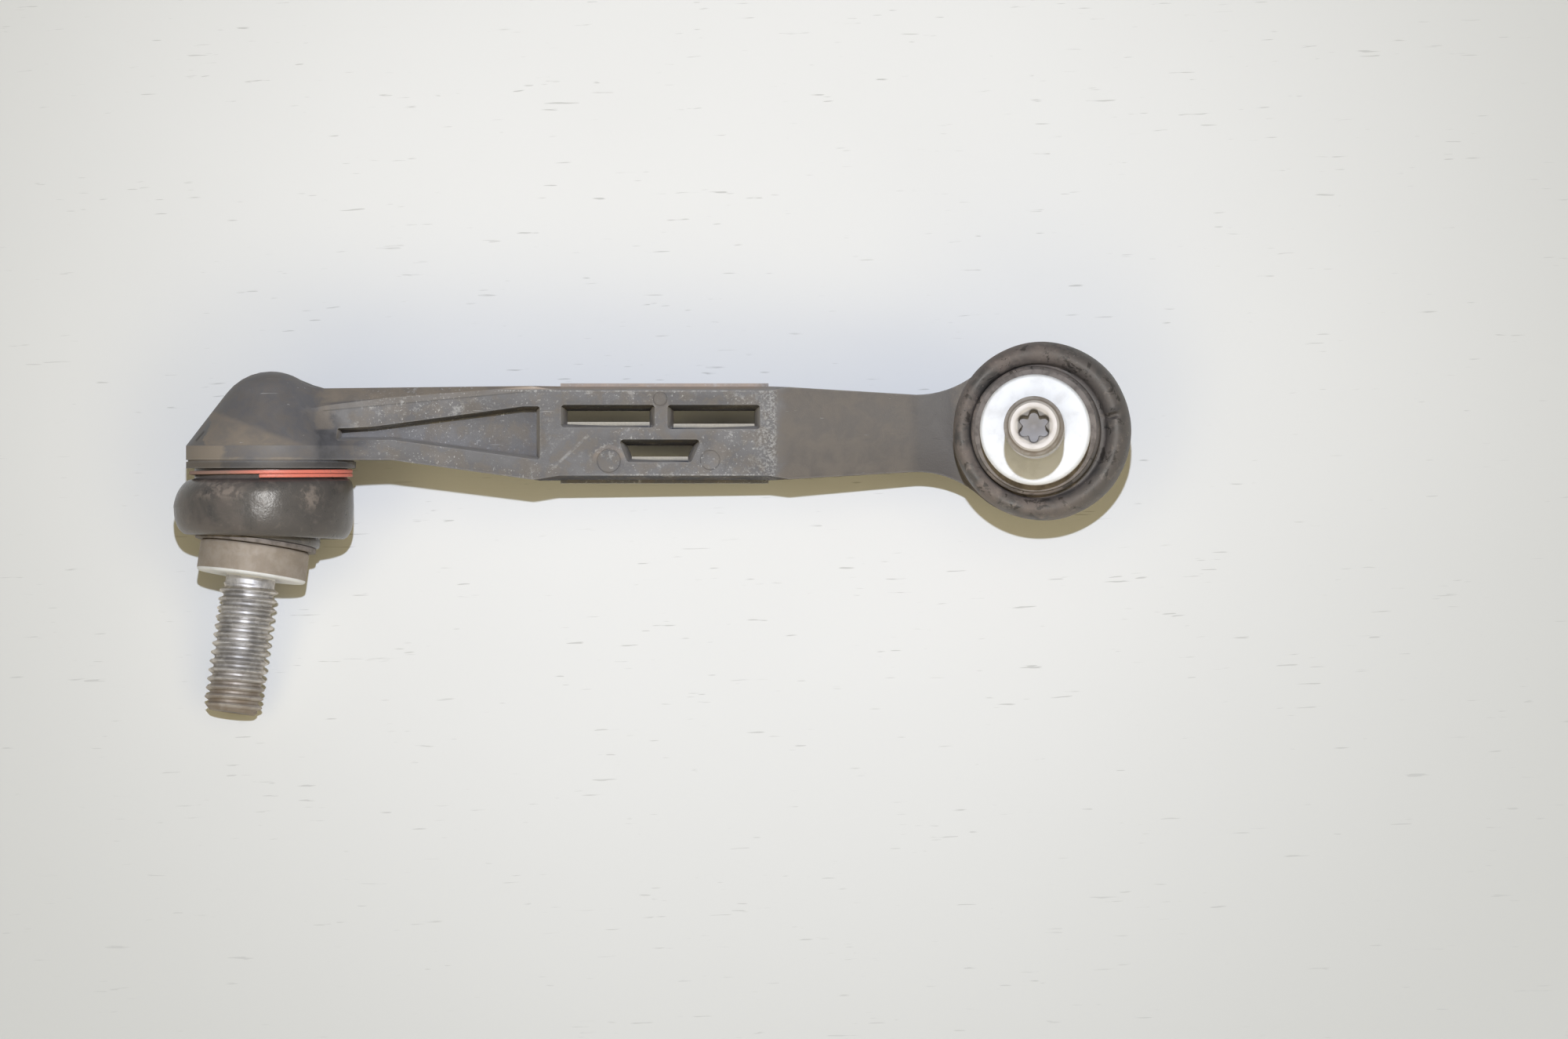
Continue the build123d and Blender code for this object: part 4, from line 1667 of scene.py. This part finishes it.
@dataclass
class Boot:
    """Rubber boot in two pieces: a wall that follows the first swing, a crown that follows both.

    The outer skin is a barrel whose widest ring and crown are shifted by the leaning stud. A ring
    of the section is a function from the angle to a radius and a height, and it takes on a share of
    the stud's lean.
    """

    place: Place
    radius: float = 15.1
    shift: float = 1.22
    shift_angle: float = 180.0
    crown_shift: float = 0.4         # share of the shift on the crown
    valley_shift: float = 0.2        # and in the valley between crown and lip
    crown_share: float = 0.22        # share of the lean on the crown
    valley_shares: tuple[float, float, float] = (0.6, 0.8, 0.95)
    roundness: float = 3.2
    squareness: float = 1.6
    seed: float = 0.0
    unevenness: float = 0.16
    waver_scale: tuple[float, float, float] = (2.2, 1.4, 0.1)   # round, up and out
    notch_angle: float | None = None
    notch_reach: float = 1.3
    notch_folds: tuple[tuple[float, float, float], ...] = (     # height, place and width
        (0.5, 0.6, 0.35), (-1.0, -0.1, 0.32))
    foot_inner: float = 11.25
    foot_inner_round: float = 0.45
    foot_inner_drop: float = 0.5
    foot_radius: float = 12.8
    foot_ease: float = 0.15
    foot_bottom: float = 5.9
    foot_top: float = 7.65
    wall: float = 1.3
    widest: float = 12.3
    blend_gap: float = 0.4
    crown_radius: float = 12.95
    crown_top: float = 17.4
    crown_round: float = 1.75
    crown_arc: Bounds = (90.0, 175.0)
    crown_steps: int = 9
    crown_under: tuple[Point, ...] = ((-0.5, 0.2), (0.0, 0.45))
    valley_floor: float = 15.5
    valley_rings: tuple[Point, ...] = ((0.1, 0.0), (-0.15, 0.0), (-0.05, 0.3))
    land: float = 7.05
    lip_radius: float = 10.75
    lip_top: float = 18.2
    lip_height: float = 2.6
    lip_edge: float = 1.5
    lip_shelf: tuple[Point, ...] = ((-0.12, 0.0), (0.0, 0.3))
    lip_outer: tuple[Point, ...] = ((0.0, -0.5), (-0.15, -0.15), (-0.5, 0.0))
    lip_inner: tuple[Point, ...] = ((0.2, 0.0), (0.0, -0.2))
    skin_steps: int = 14
    inner_every: int = 3             # the inner skin has every third ring of the outer one
    inner_end: int = 3               # and stops this many rings before the crown
    steps: int = 192
    sharp: float = 50.0
    margin: float = 1e-3

    def reach_at(self, angle: float, radius: float, share: float) -> float:
        """Radius of a ring that is shifted by a share of the boot's shift."""
        return radius + self.shift * share * math.cos(angle - math.radians(self.shift_angle))

    def skin(self, turn: float, inset: float = 0.0) -> RingShape:
        """One ring of the barrel.

        Args:
            turn: Place on the barrel's section in degrees, -90 at the foot, 0 where it is widest
                and 90 on top of the crown.
            inset: Distance inwards, for the inner skin.

        Returns:
            The ring's shape.
        """
        bow, rise = math.cos(math.radians(turn)), abs(math.sin(math.radians(turn)))

        def shape(angle: float) -> Point:
            """Radius and height at one angle; the barrel is squarer towards the arm."""
            towards_arm = math.cos(angle - math.radians(self.shift_angle) - math.pi)
            lift = rise ** (2 / (self.roundness + self.squareness * towards_arm))
            wide = self.reach_at(angle, self.radius - inset, 1.0)
            if turn < 0:
                end, height = self.foot_radius + self.foot_ease - inset, self.foot_top + inset
            else:
                end = self.reach_at(angle, self.crown_radius, self.crown_shift)
                height = self.crown_top - inset
            radius = end + (wide - end) * bow
            waver = self.waver(angle, radius, lift if turn > 0 else 1 - lift)
            return radius + waver, self.widest + (height - self.widest) * lift

        return shape

    def waver(self, angle: float, radius: float, rise: float) -> float:
        """Slow unevenness of the rubber, none at the foot.

        Args:
            angle: Angle round the boot.
            radius: Radius there.
            rise: How far up the skin, from 0 to 1.

        Returns:
            The distance outwards.
        """
        around, up, out = self.waver_scale
        spot = Vector((math.cos(angle) * around, math.sin(angle) * around,
                       rise * up + radius * out + self.seed))
        return self.unevenness * rise * noise.noise(spot)

    def notch(self, angle: float, radius: float) -> float:
        """Short radial crease across the crown, where the boot has one.

        Args:
            angle: Angle round the boot.
            radius: Radius there.

        Returns:
            The height that it adds.
        """
        if self.notch_angle is None:
            return 0.0
        beside = (angle - math.radians(self.notch_angle) + math.pi) % TURN - math.pi
        across = beside * radius
        out = math.exp(-((radius - self.crown_radius) / self.notch_reach) ** 2)
        return out * sum(height * math.exp(-((across - place) / width) ** 2)
                         for height, place, width in self.notch_folds)

    def plain(self, radius: float, height: float, share: float = 0.0) -> RingShape:
        """A round ring, shifted by a share of the boot's shift."""
        return lambda angle: (self.reach_at(angle, radius, share), height)

    def wall_rings(self) -> list[Ring]:
        """Section of the lower piece: foot, outer skin to the widest ring, and back inside.

        Returns:
            The rings, ending with the first one again.
        """
        angles = [-90 + 90 * i / self.skin_steps for i in range(self.skin_steps + 1)]
        shapes = [self.plain(self.foot_radius, self.foot_bottom),
                  self.plain(self.foot_radius, self.foot_top - self.foot_ease)]
        shapes += [self.skin(angle) for angle in angles]
        shapes += [self.skin(angle, self.wall) for angle in reversed(angles[::self.inner_every])]
        shapes += [self.plain(self.foot_inner + self.foot_inner_round,
                              self.foot_top + self.foot_inner_round),
                   self.plain(self.foot_inner, self.foot_top - self.foot_inner_drop),
                   self.plain(self.foot_inner, self.foot_bottom)]
        return [(shape, 0.0) for shape in [*shapes, shapes[0]]]

    def share_at(self, turn: float) -> float:
        """Share of the lean on a ring of the upper skin, without a kink at either end."""
        rise = math.sin(math.radians(turn))
        return self.crown_share * rise * rise * (3 - 2 * rise)

    def lip_outline(self) -> list[Point]:
        """Section of the lip that clasps the stud's land.

        Returns:
            The points as radius and height.
        """
        top, outer, land = self.lip_top, self.lip_radius, self.land
        shelf = top - self.lip_edge
        corners_of_lip = ((outer, shelf, self.lip_shelf), (outer, top, self.lip_outer),
                          (land, top, self.lip_inner))
        points = [(radius + out, height + up)
                  for radius, height, steps in corners_of_lip for out, up in steps]
        return [*points, (land, top - self.lip_height)]

    def crown_rings(self) -> list[Ring]:
        """Section of the upper piece: skin, crown, valley, lip and back inside.

        Returns:
            The rings, ending with the first one again.
        """
        angles = [90 * i / self.skin_steps for i in range(self.skin_steps + 1)]
        bend, level = self.crown_round, self.crown_top - self.crown_round
        low = (self.crown_radius - bend + self.lip_radius) / 2
        outer = [(self.skin(angle), self.share_at(angle)) for angle in angles]
        over = arc((self.crown_radius, level), bend, *self.crown_arc, self.crown_steps)[1:]
        crown = [(self.plain(*point, self.crown_shift), self.crown_share) for point in over]
        starts = ((low, self.valley_shift), (low, 0.0), (self.lip_radius, 0.0))
        valley = [(self.plain(start + out, self.valley_floor + up, shift), share)
                  for (start, shift), (out, up), share
                  in zip(starts, self.valley_rings, self.valley_shares)]
        lip = [(self.plain(*point), 1.0) for point in self.lip_outline()]
        under = [(self.plain(low, self.valley_floor - self.wall, self.valley_shift),
                  self.valley_shares[0])]
        under += [(self.plain(self.crown_radius + out, level + up, self.crown_shift),
                   self.crown_share) for out, up in self.crown_under]
        inner = [(self.skin(angle, self.wall), self.share_at(angle))
                 for angle in reversed(angles[:-self.inner_end:self.inner_every])]
        rings = outer + crown + valley + lip + under + inner
        return [*rings, rings[0]]

    def lean_in_joint(self) -> tuple[Vector, float]:
        """Axis and angle of the stud's lean, in the joint's own frame."""
        axes = self.place.frame(0.0).to_3x3().normalized()
        return UP.rotation_difference(axes.inverted() @ self.place.stud).to_axis_angle()

    def shape_ring(self, shape: RingShape, lean: Matrix) -> None:
        """Puts the selected loop on a leaning ring.

        Args:
            shape: The ring's shape.
            lean: The lean of this ring.
        """
        mesh = Bench.mesh()
        angles = mesh.verts.layers.float["angle"]
        for vertex in [v for v in mesh.verts if v.select]:
            angle = vertex[angles]
            radius, height = shape(angle)
            crease = self.notch(angle, radius) if height > self.valley_floor else 0.0
            spot = (radius * math.cos(angle), radius * math.sin(angle), height + crease)
            vertex.co = lean @ Vector(spot)
        Bench.update()

    def turned(self, name: str, rings: Sequence[Ring]) -> bpy.types.Object:
        """Grows a closed piece ring by ring and leans each ring by its share.

        Args:
            name: The piece's name.
            rings: The closed section.

        Returns:
            The piece in place, smooth, with its faces outwards.
        """
        Bench.deselect()
        bpy.ops.mesh.primitive_circle_add(vertices=self.steps, radius=1, fill_type="NOTHING")
        obj = Bench.added(name)
        lean_axis, lean_angle = self.lean_in_joint()
        with Bench.editing(obj, "EDGE"):
            mesh = Bench.mesh()
            angles = mesh.verts.layers.float.new("angle")
            for vertex in mesh.verts:
                vertex[angles] = math.atan2(vertex.co.y, vertex.co.x)
            bpy.ops.mesh.select_all(action="SELECT")
            for index, (shape, share) in enumerate(rings):
                if index:
                    bpy.ops.mesh.extrude_region()
                self.shape_ring(shape, Matrix.Rotation(lean_angle * share, 3, lean_axis))
            Bench.close_up(self.margin)
        Bench.smooth(obj, self.sharp)
        Bench.put(obj, self.place.frame(0.0))
        return obj

    def build(self, finish: DustyRubber) -> None:
        """Models and dresses both pieces and joins them to the bodies that they stretch between.

        Args:
            finish: The rubber's finish.
        """
        material = finish.build()
        wall = self.turned(self.place.named("boot_wall"), self.wall_rings())
        crown = self.turned(self.place.named("boot_crown"), self.crown_rings())
        for obj in (wall, crown):
            dress(obj, material, self.place.named("boot"))
        heights = (self.foot_top, self.widest - self.blend_gap, self.widest + self.blend_gap,
                   self.crown_top - self.crown_round)
        spots = [self.place.ball + self.place.opening * height * MM for height in heights]
        boot_body, seal_body = self.place.named("boot_body"), self.place.named("seal_body")
        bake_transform(wall, "link", boot_body, start=spots[0], end=spots[1])
        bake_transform(crown, boot_body, seal_body, start=spots[2], end=spots[3])


@dataclass
class BallJoint:
    """One ball joint with all its pieces."""

    place: Place
    nodes: dict[str, bpy.types.Object]
    boot: Boot
    rubber: DustyRubber
    steel: PlatedSteel
    edge: float = 0.12
    ivory: Colour = tone(214, 208, 192)
    # shadow tone of the shell: darker clouds, and painted shade in the creases
    ivory_shadow: Colour = tone(186, 178, 160)
    grey: Colour = tone(126, 118, 113)
    # shadow tone of ring and seal: darker clouds, and painted shade in the creases
    black: Colour = tone(96, 89, 85)
    shell_rough: float = 0.45
    ring_rough: float = 0.5
    seal_rough: float = 0.65

    def rounded(self, piece: str, body: str, material: bpy.types.Material) -> None:
        """Gives a rigid CAD piece rounded edges and its finish.

        Args:
            piece: The piece's name without its side.
            body: The body it rides on.
            material: Its finish.
        """
        node = self.place.named(piece)
        obj = Bench.rounded_copy(self.nodes[node], f"{node}_rounded", self.edge)
        dress(obj, material, node)
        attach(obj, body)

    def build(self) -> None:
        """Models or dresses each piece of the joint."""
        named = self.place.named
        shell = PlainPolymer(named("shell polymer"), self.ivory, self.ivory_shadow,
                             self.shell_rough).build()
        ring = PlainPolymer(named("ring polymer"), self.grey, self.black, self.ring_rough).build()
        seal = PlainPolymer(named("seal rubber"), self.grey, self.black, self.seal_rough).build()
        self.rounded("bearing_shell", "link", shell)
        self.rounded("retaining_ring", "link", ring)
        self.rounded("clamp_ring", "link", RedCoat(self.place).build())
        self.rounded("seal_ring", named("seal_body"), seal)
        self.boot.build(self.rubber)
        Stud(self.place, self.steel).build()


@dataclass
class LinkBody:
    """The moulded body: arm and cups, from the CAD solid with its mould edges rounded."""

    node: bpy.types.Object
    edge: float = 0.35
    sharp: float = 24.0
    slots: SlotField = SlotField()
    wall_low: float = 0.5            # the front half of a slot's wall lies between these heights
    wall_high: float = 7.4
    wall_facing: float = 0.95
    ledge_height: float = 0.2
    ledge_depth: float = 0.9

    def cut_ledges(self, obj: bpy.types.Object) -> None:
        """Sets back the front half of each slot's lower wall, which leaves a ledge below it.

        Args:
            obj: The body.
        """
        slots = self.slots
        with Bench.editing(obj, "FACE"):
            for face in Bench.mesh().faces:
                spot = face.calc_center_median() / MM
                in_slot = slots.start < spot.x < slots.end and abs(spot.y) < slots.half
                in_front = self.wall_low < spot.z < self.wall_high
                face.select_set(in_slot and in_front and face.normal.y > self.wall_facing)
            Bench.update()
            bpy.ops.mesh.bisect(plane_co=(0, 0, self.ledge_height * MM), plane_no=(0, 0, 1))
            bpy.ops.transform.translate(value=(0, -self.ledge_depth * MM, 0))

    def build(self) -> bpy.types.Object:
        """Rounds and dresses the body.

        Returns:
            The rounded copy.
        """
        obj = Bench.rounded_copy(self.node, "moulded_body", self.edge)
        self.cut_ledges(obj)
        Bench.smooth(obj, self.sharp)
        dress(obj, MouldedPlastic().build(), "link_body")
        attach(obj, "link")
        return obj


@dataclass
class Studio:
    """Pale table, one lamp beside the camera, warm surroundings and the camera.

    The link lies on its right cup, its left boot and the tip of its left stud, so the table slopes
    under it; the camera looks straight down on the link. Places are in metres.
    """

    view_point: Vector = field(default_factory=lambda: Vector((0.0861, -0.01444, 2.0)))
    lens: float = 273.6
    sensor: float = 36.0

    lamp_offset: Vector = field(default_factory=lambda: Vector((0.0, 0.36, 0.0)))
    lamp_size: float = 0.036
    lamp_power: float = 33.0
    lamp_colour: tuple[float, float, float] = (0.755, 0.827, 0.985)

    # The room lights the table from a ring of directions, by their height from -1 to 1
    room_colour: Colour = (3.36, 2.89, 1.75, 1.0)
    room_low: float = 0.012
    room_start: Bounds = (0.75, 0.82)
    room_end: Bounds = (0.91, 0.95)
    room_far_share: float = 0.12
    gloss: Colour = (0.86, 0.86, 0.86, 1.0)
    gloss_low: float = 0.3
    gloss_rise: Bounds = (-0.1, 1.0)
    backdrop: Colour = tone(222, 222, 219)

    table_size: float = 1.2
    table_slope: tuple[float, float] = (0.0835, -0.446)     # rise along X and along Y
    table_colour: Colour = tone(242, 242, 242)
    table_edge: Colour = tone(206, 206, 203)
    # painted pool of lamp light: the table darkens towards table_edge away from this spot
    painted_pool_centre: Point = (78.0, 30.0)
    painted_pool_reach: Bounds = (40.0, 190.0)
    table_cloud: Pattern = Pattern(60.0, 3.0)
    cloud_share: float = 0.15
    scratch_colour: Colour = tone(196, 196, 194)
    scratches: tuple[Scratches, ...] = (
        Scratches(0.7, 62, 0.035), Scratches(0.6, -55, 0.03), Scratches(0.8, 8, 0.025))
    scratch_share: float = 0.75
    table_smoothness: Bounds = (0.5, 0.62)
    table_specular: float = 0.12

    def resting_height(self) -> float:
        """Height of the table's slope above the origin, so that it just touches the link.

        Returns:
            The height.
        """
        rise_x, rise_y = self.table_slope
        lowest = math.inf
        for obj in bpy.context.scene.objects:
            if obj.type == "MESH" and not obj.hide_render:
                for vertex in obj.data.vertices:
                    spot = obj.matrix_world @ vertex.co
                    lowest = min(lowest, spot.z - rise_x * spot.x - rise_y * spot.y)
        return lowest

    def table_finish(self) -> bpy.types.Material:
        """Pale table with a painted pool of light, a little darker away from its middle, and finely
        scratched.

        Returns:
            The material.
        """
        g = Graph("pale table")
        cloud = g.noise(self.table_cloud)
        # painted pool of light
        away = g.mask(g.around(*self.painted_pool_centre), *self.painted_pool_reach)
        lines = g.either(*[g.scratches(kind) for kind in self.scratches])
        colour = g.mix(away, self.table_colour, self.table_edge)
        colour = g.mix(g.product(cloud, self.cloud_share), colour, self.table_edge)
        colour = g.mix(g.product(lines, self.scratch_share), colour, self.scratch_colour)
        rough = g.shade(cloud, *self.table_smoothness)
        return g.finish(colour, rough, specular=self.table_specular)

    def table(self) -> None:
        """Lays the table under the link."""
        height = self.resting_height()
        rise_x, rise_y = self.table_slope
        Bench.deselect()
        bpy.ops.mesh.primitive_plane_add(size=self.table_size)
        obj = Bench.added("table")
        for vertex in obj.data.vertices:
            vertex.co.z = height + rise_x * vertex.co.x + rise_y * vertex.co.y
        obj.data.materials.append(self.table_finish())

    def lamp(self) -> None:
        """Hangs the lamp beside the camera, on the far side of the link."""
        light = bpy.data.lights.new("lamp", "AREA")
        light.shape = "DISK"
        light.size = self.lamp_size
        light.energy = self.lamp_power
        light.color = self.lamp_colour
        obj = bpy.data.objects.new("lamp", light)
        bpy.context.scene.collection.objects.link(obj)
        obj.location = self.view_point + self.lamp_offset
        target = Vector((self.view_point.x, self.view_point.y, 0))
        obj.rotation_euler = (target - obj.location).to_track_quat("-Z", "Y").to_euler()

    def surroundings(self) -> None:
        """Warm light from a ring of directions, shown pale to the camera and in reflections."""
        g = RoomGraph("room")
        direction = g.node("ShaderNodeSeparateXYZ")
        g.feed(direction.inputs[0], g.point)
        height, side = direction.outputs["Z"], direction.outputs["Y"]
        ring = g.product(g.mask(height, *self.room_start),
                         g.mask(height, *self.room_end, Limit.FALL))
        near = g.shade(g.calc("SUBTRACT", 0.5, side), self.room_far_share, 1.0)
        low = g.dimmed(self.room_colour, self.room_low)
        light = g.mix(g.product(ring, near), low, self.room_colour)
        mirrored = g.mix(g.mask(height, *self.gloss_rise), g.dimmed(self.gloss, self.gloss_low),
                         self.gloss)
        path = g.node("ShaderNodeLightPath")
        colour = g.mix(path.outputs["Is Glossy Ray"], light, mirrored)
        seen = g.either(path.outputs["Is Camera Ray"], path.outputs["Is Transmission Ray"])
        g.surround(g.mix(seen, colour, self.backdrop))

    def camera(self) -> None:
        """Looks straight down on the link, as far away as the photograph's perspective says."""
        data = bpy.data.cameras.new("camera")
        data.lens = self.lens
        data.sensor_width = self.sensor
        obj = bpy.data.objects.new("camera", data)
        bpy.context.scene.collection.objects.link(obj)
        obj.location = self.view_point
        bpy.context.scene.camera = obj

    def build(self) -> None:
        """Sets the whole studio and the plain view transform."""
        self.table()
        self.lamp()
        self.surroundings()
        self.camera()
        bpy.context.scene.view_settings.view_transform = "Standard"


def joint_place(side: Side, joints: Sequence[dict]) -> Place:
    """Reads one ball joint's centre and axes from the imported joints.

    Args:
        side: Which joint.
        joints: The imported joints.

    Returns:
        The joint's place.
    """
    found = {joint["name"]: joint for joint in joints}
    ball = Vector(found[f"{side.value}_swing_along"]["pos_m"])
    stud = Vector(found[f"{side.value}_spin"]["axis"]).normalized()
    if side is Side.LEFT:
        return Place(side, ball, -ACROSS, ALONG, stud)
    return Place(side, ball, UP, -ALONG, stud)


def left_joint(place: Place, nodes: dict[str, bpy.types.Object]) -> BallJoint:
    """The joint that is seen from its side: boot bulging away from the arm, clean towards it.

    Args:
        place: Where it sits.
        nodes: The CAD nodes by name.

    Returns:
        The joint, not built yet.
    """
    patches = (Patch(-10.9, -3.7, 8.4, 11.2), Patch(6.3, 9.1, 9.1, 12.8))
    rubber = DustyRubber(place, dust_share=0.4, shine=(-6.0, 3.0), gloss=0.2, patches=patches)
    return BallJoint(place, nodes, Boot(place, seed=3.0), rubber, PlatedSteel(place))


def right_joint(place: Place, nodes: dict[str, bpy.types.Object]) -> BallJoint:
    """The joint whose stud points at the camera: browner boot with a notch, rubbed tip.

    Args:
        place: Where it sits.
        nodes: The CAD nodes by name.

    Returns:
        The joint, not built yet.
    """
    boot = Boot(place, radius=14.85, shift=0.72, shift_angle=205.0, crown_share=0.4,
                roundness=2.8, squareness=0.4, notch_angle=-167.4, seed=8.0)
    rubber = DustyRubber(place, dust_share=1.0, shine=(2.0, -8.0), stains=0.7, crumbs=0.9)
    return BallJoint(place, nodes, boot, rubber, PlatedSteel(place, clean_tip=1.0))


def main() -> None:
    """Loads the frame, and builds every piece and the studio."""
    logging.basicConfig(level=logging.INFO, format="%(name)s: %(message)s")
    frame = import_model()
    nodes = frame["nodes"]
    LinkBody(nodes["link_body"]).build()
    left_joint(joint_place(Side.LEFT, frame["joints"]), nodes).build()
    right_joint(joint_place(Side.RIGHT, frame["joints"]), nodes).build()
    Studio().build()


if __name__ == "__main__":
    main()
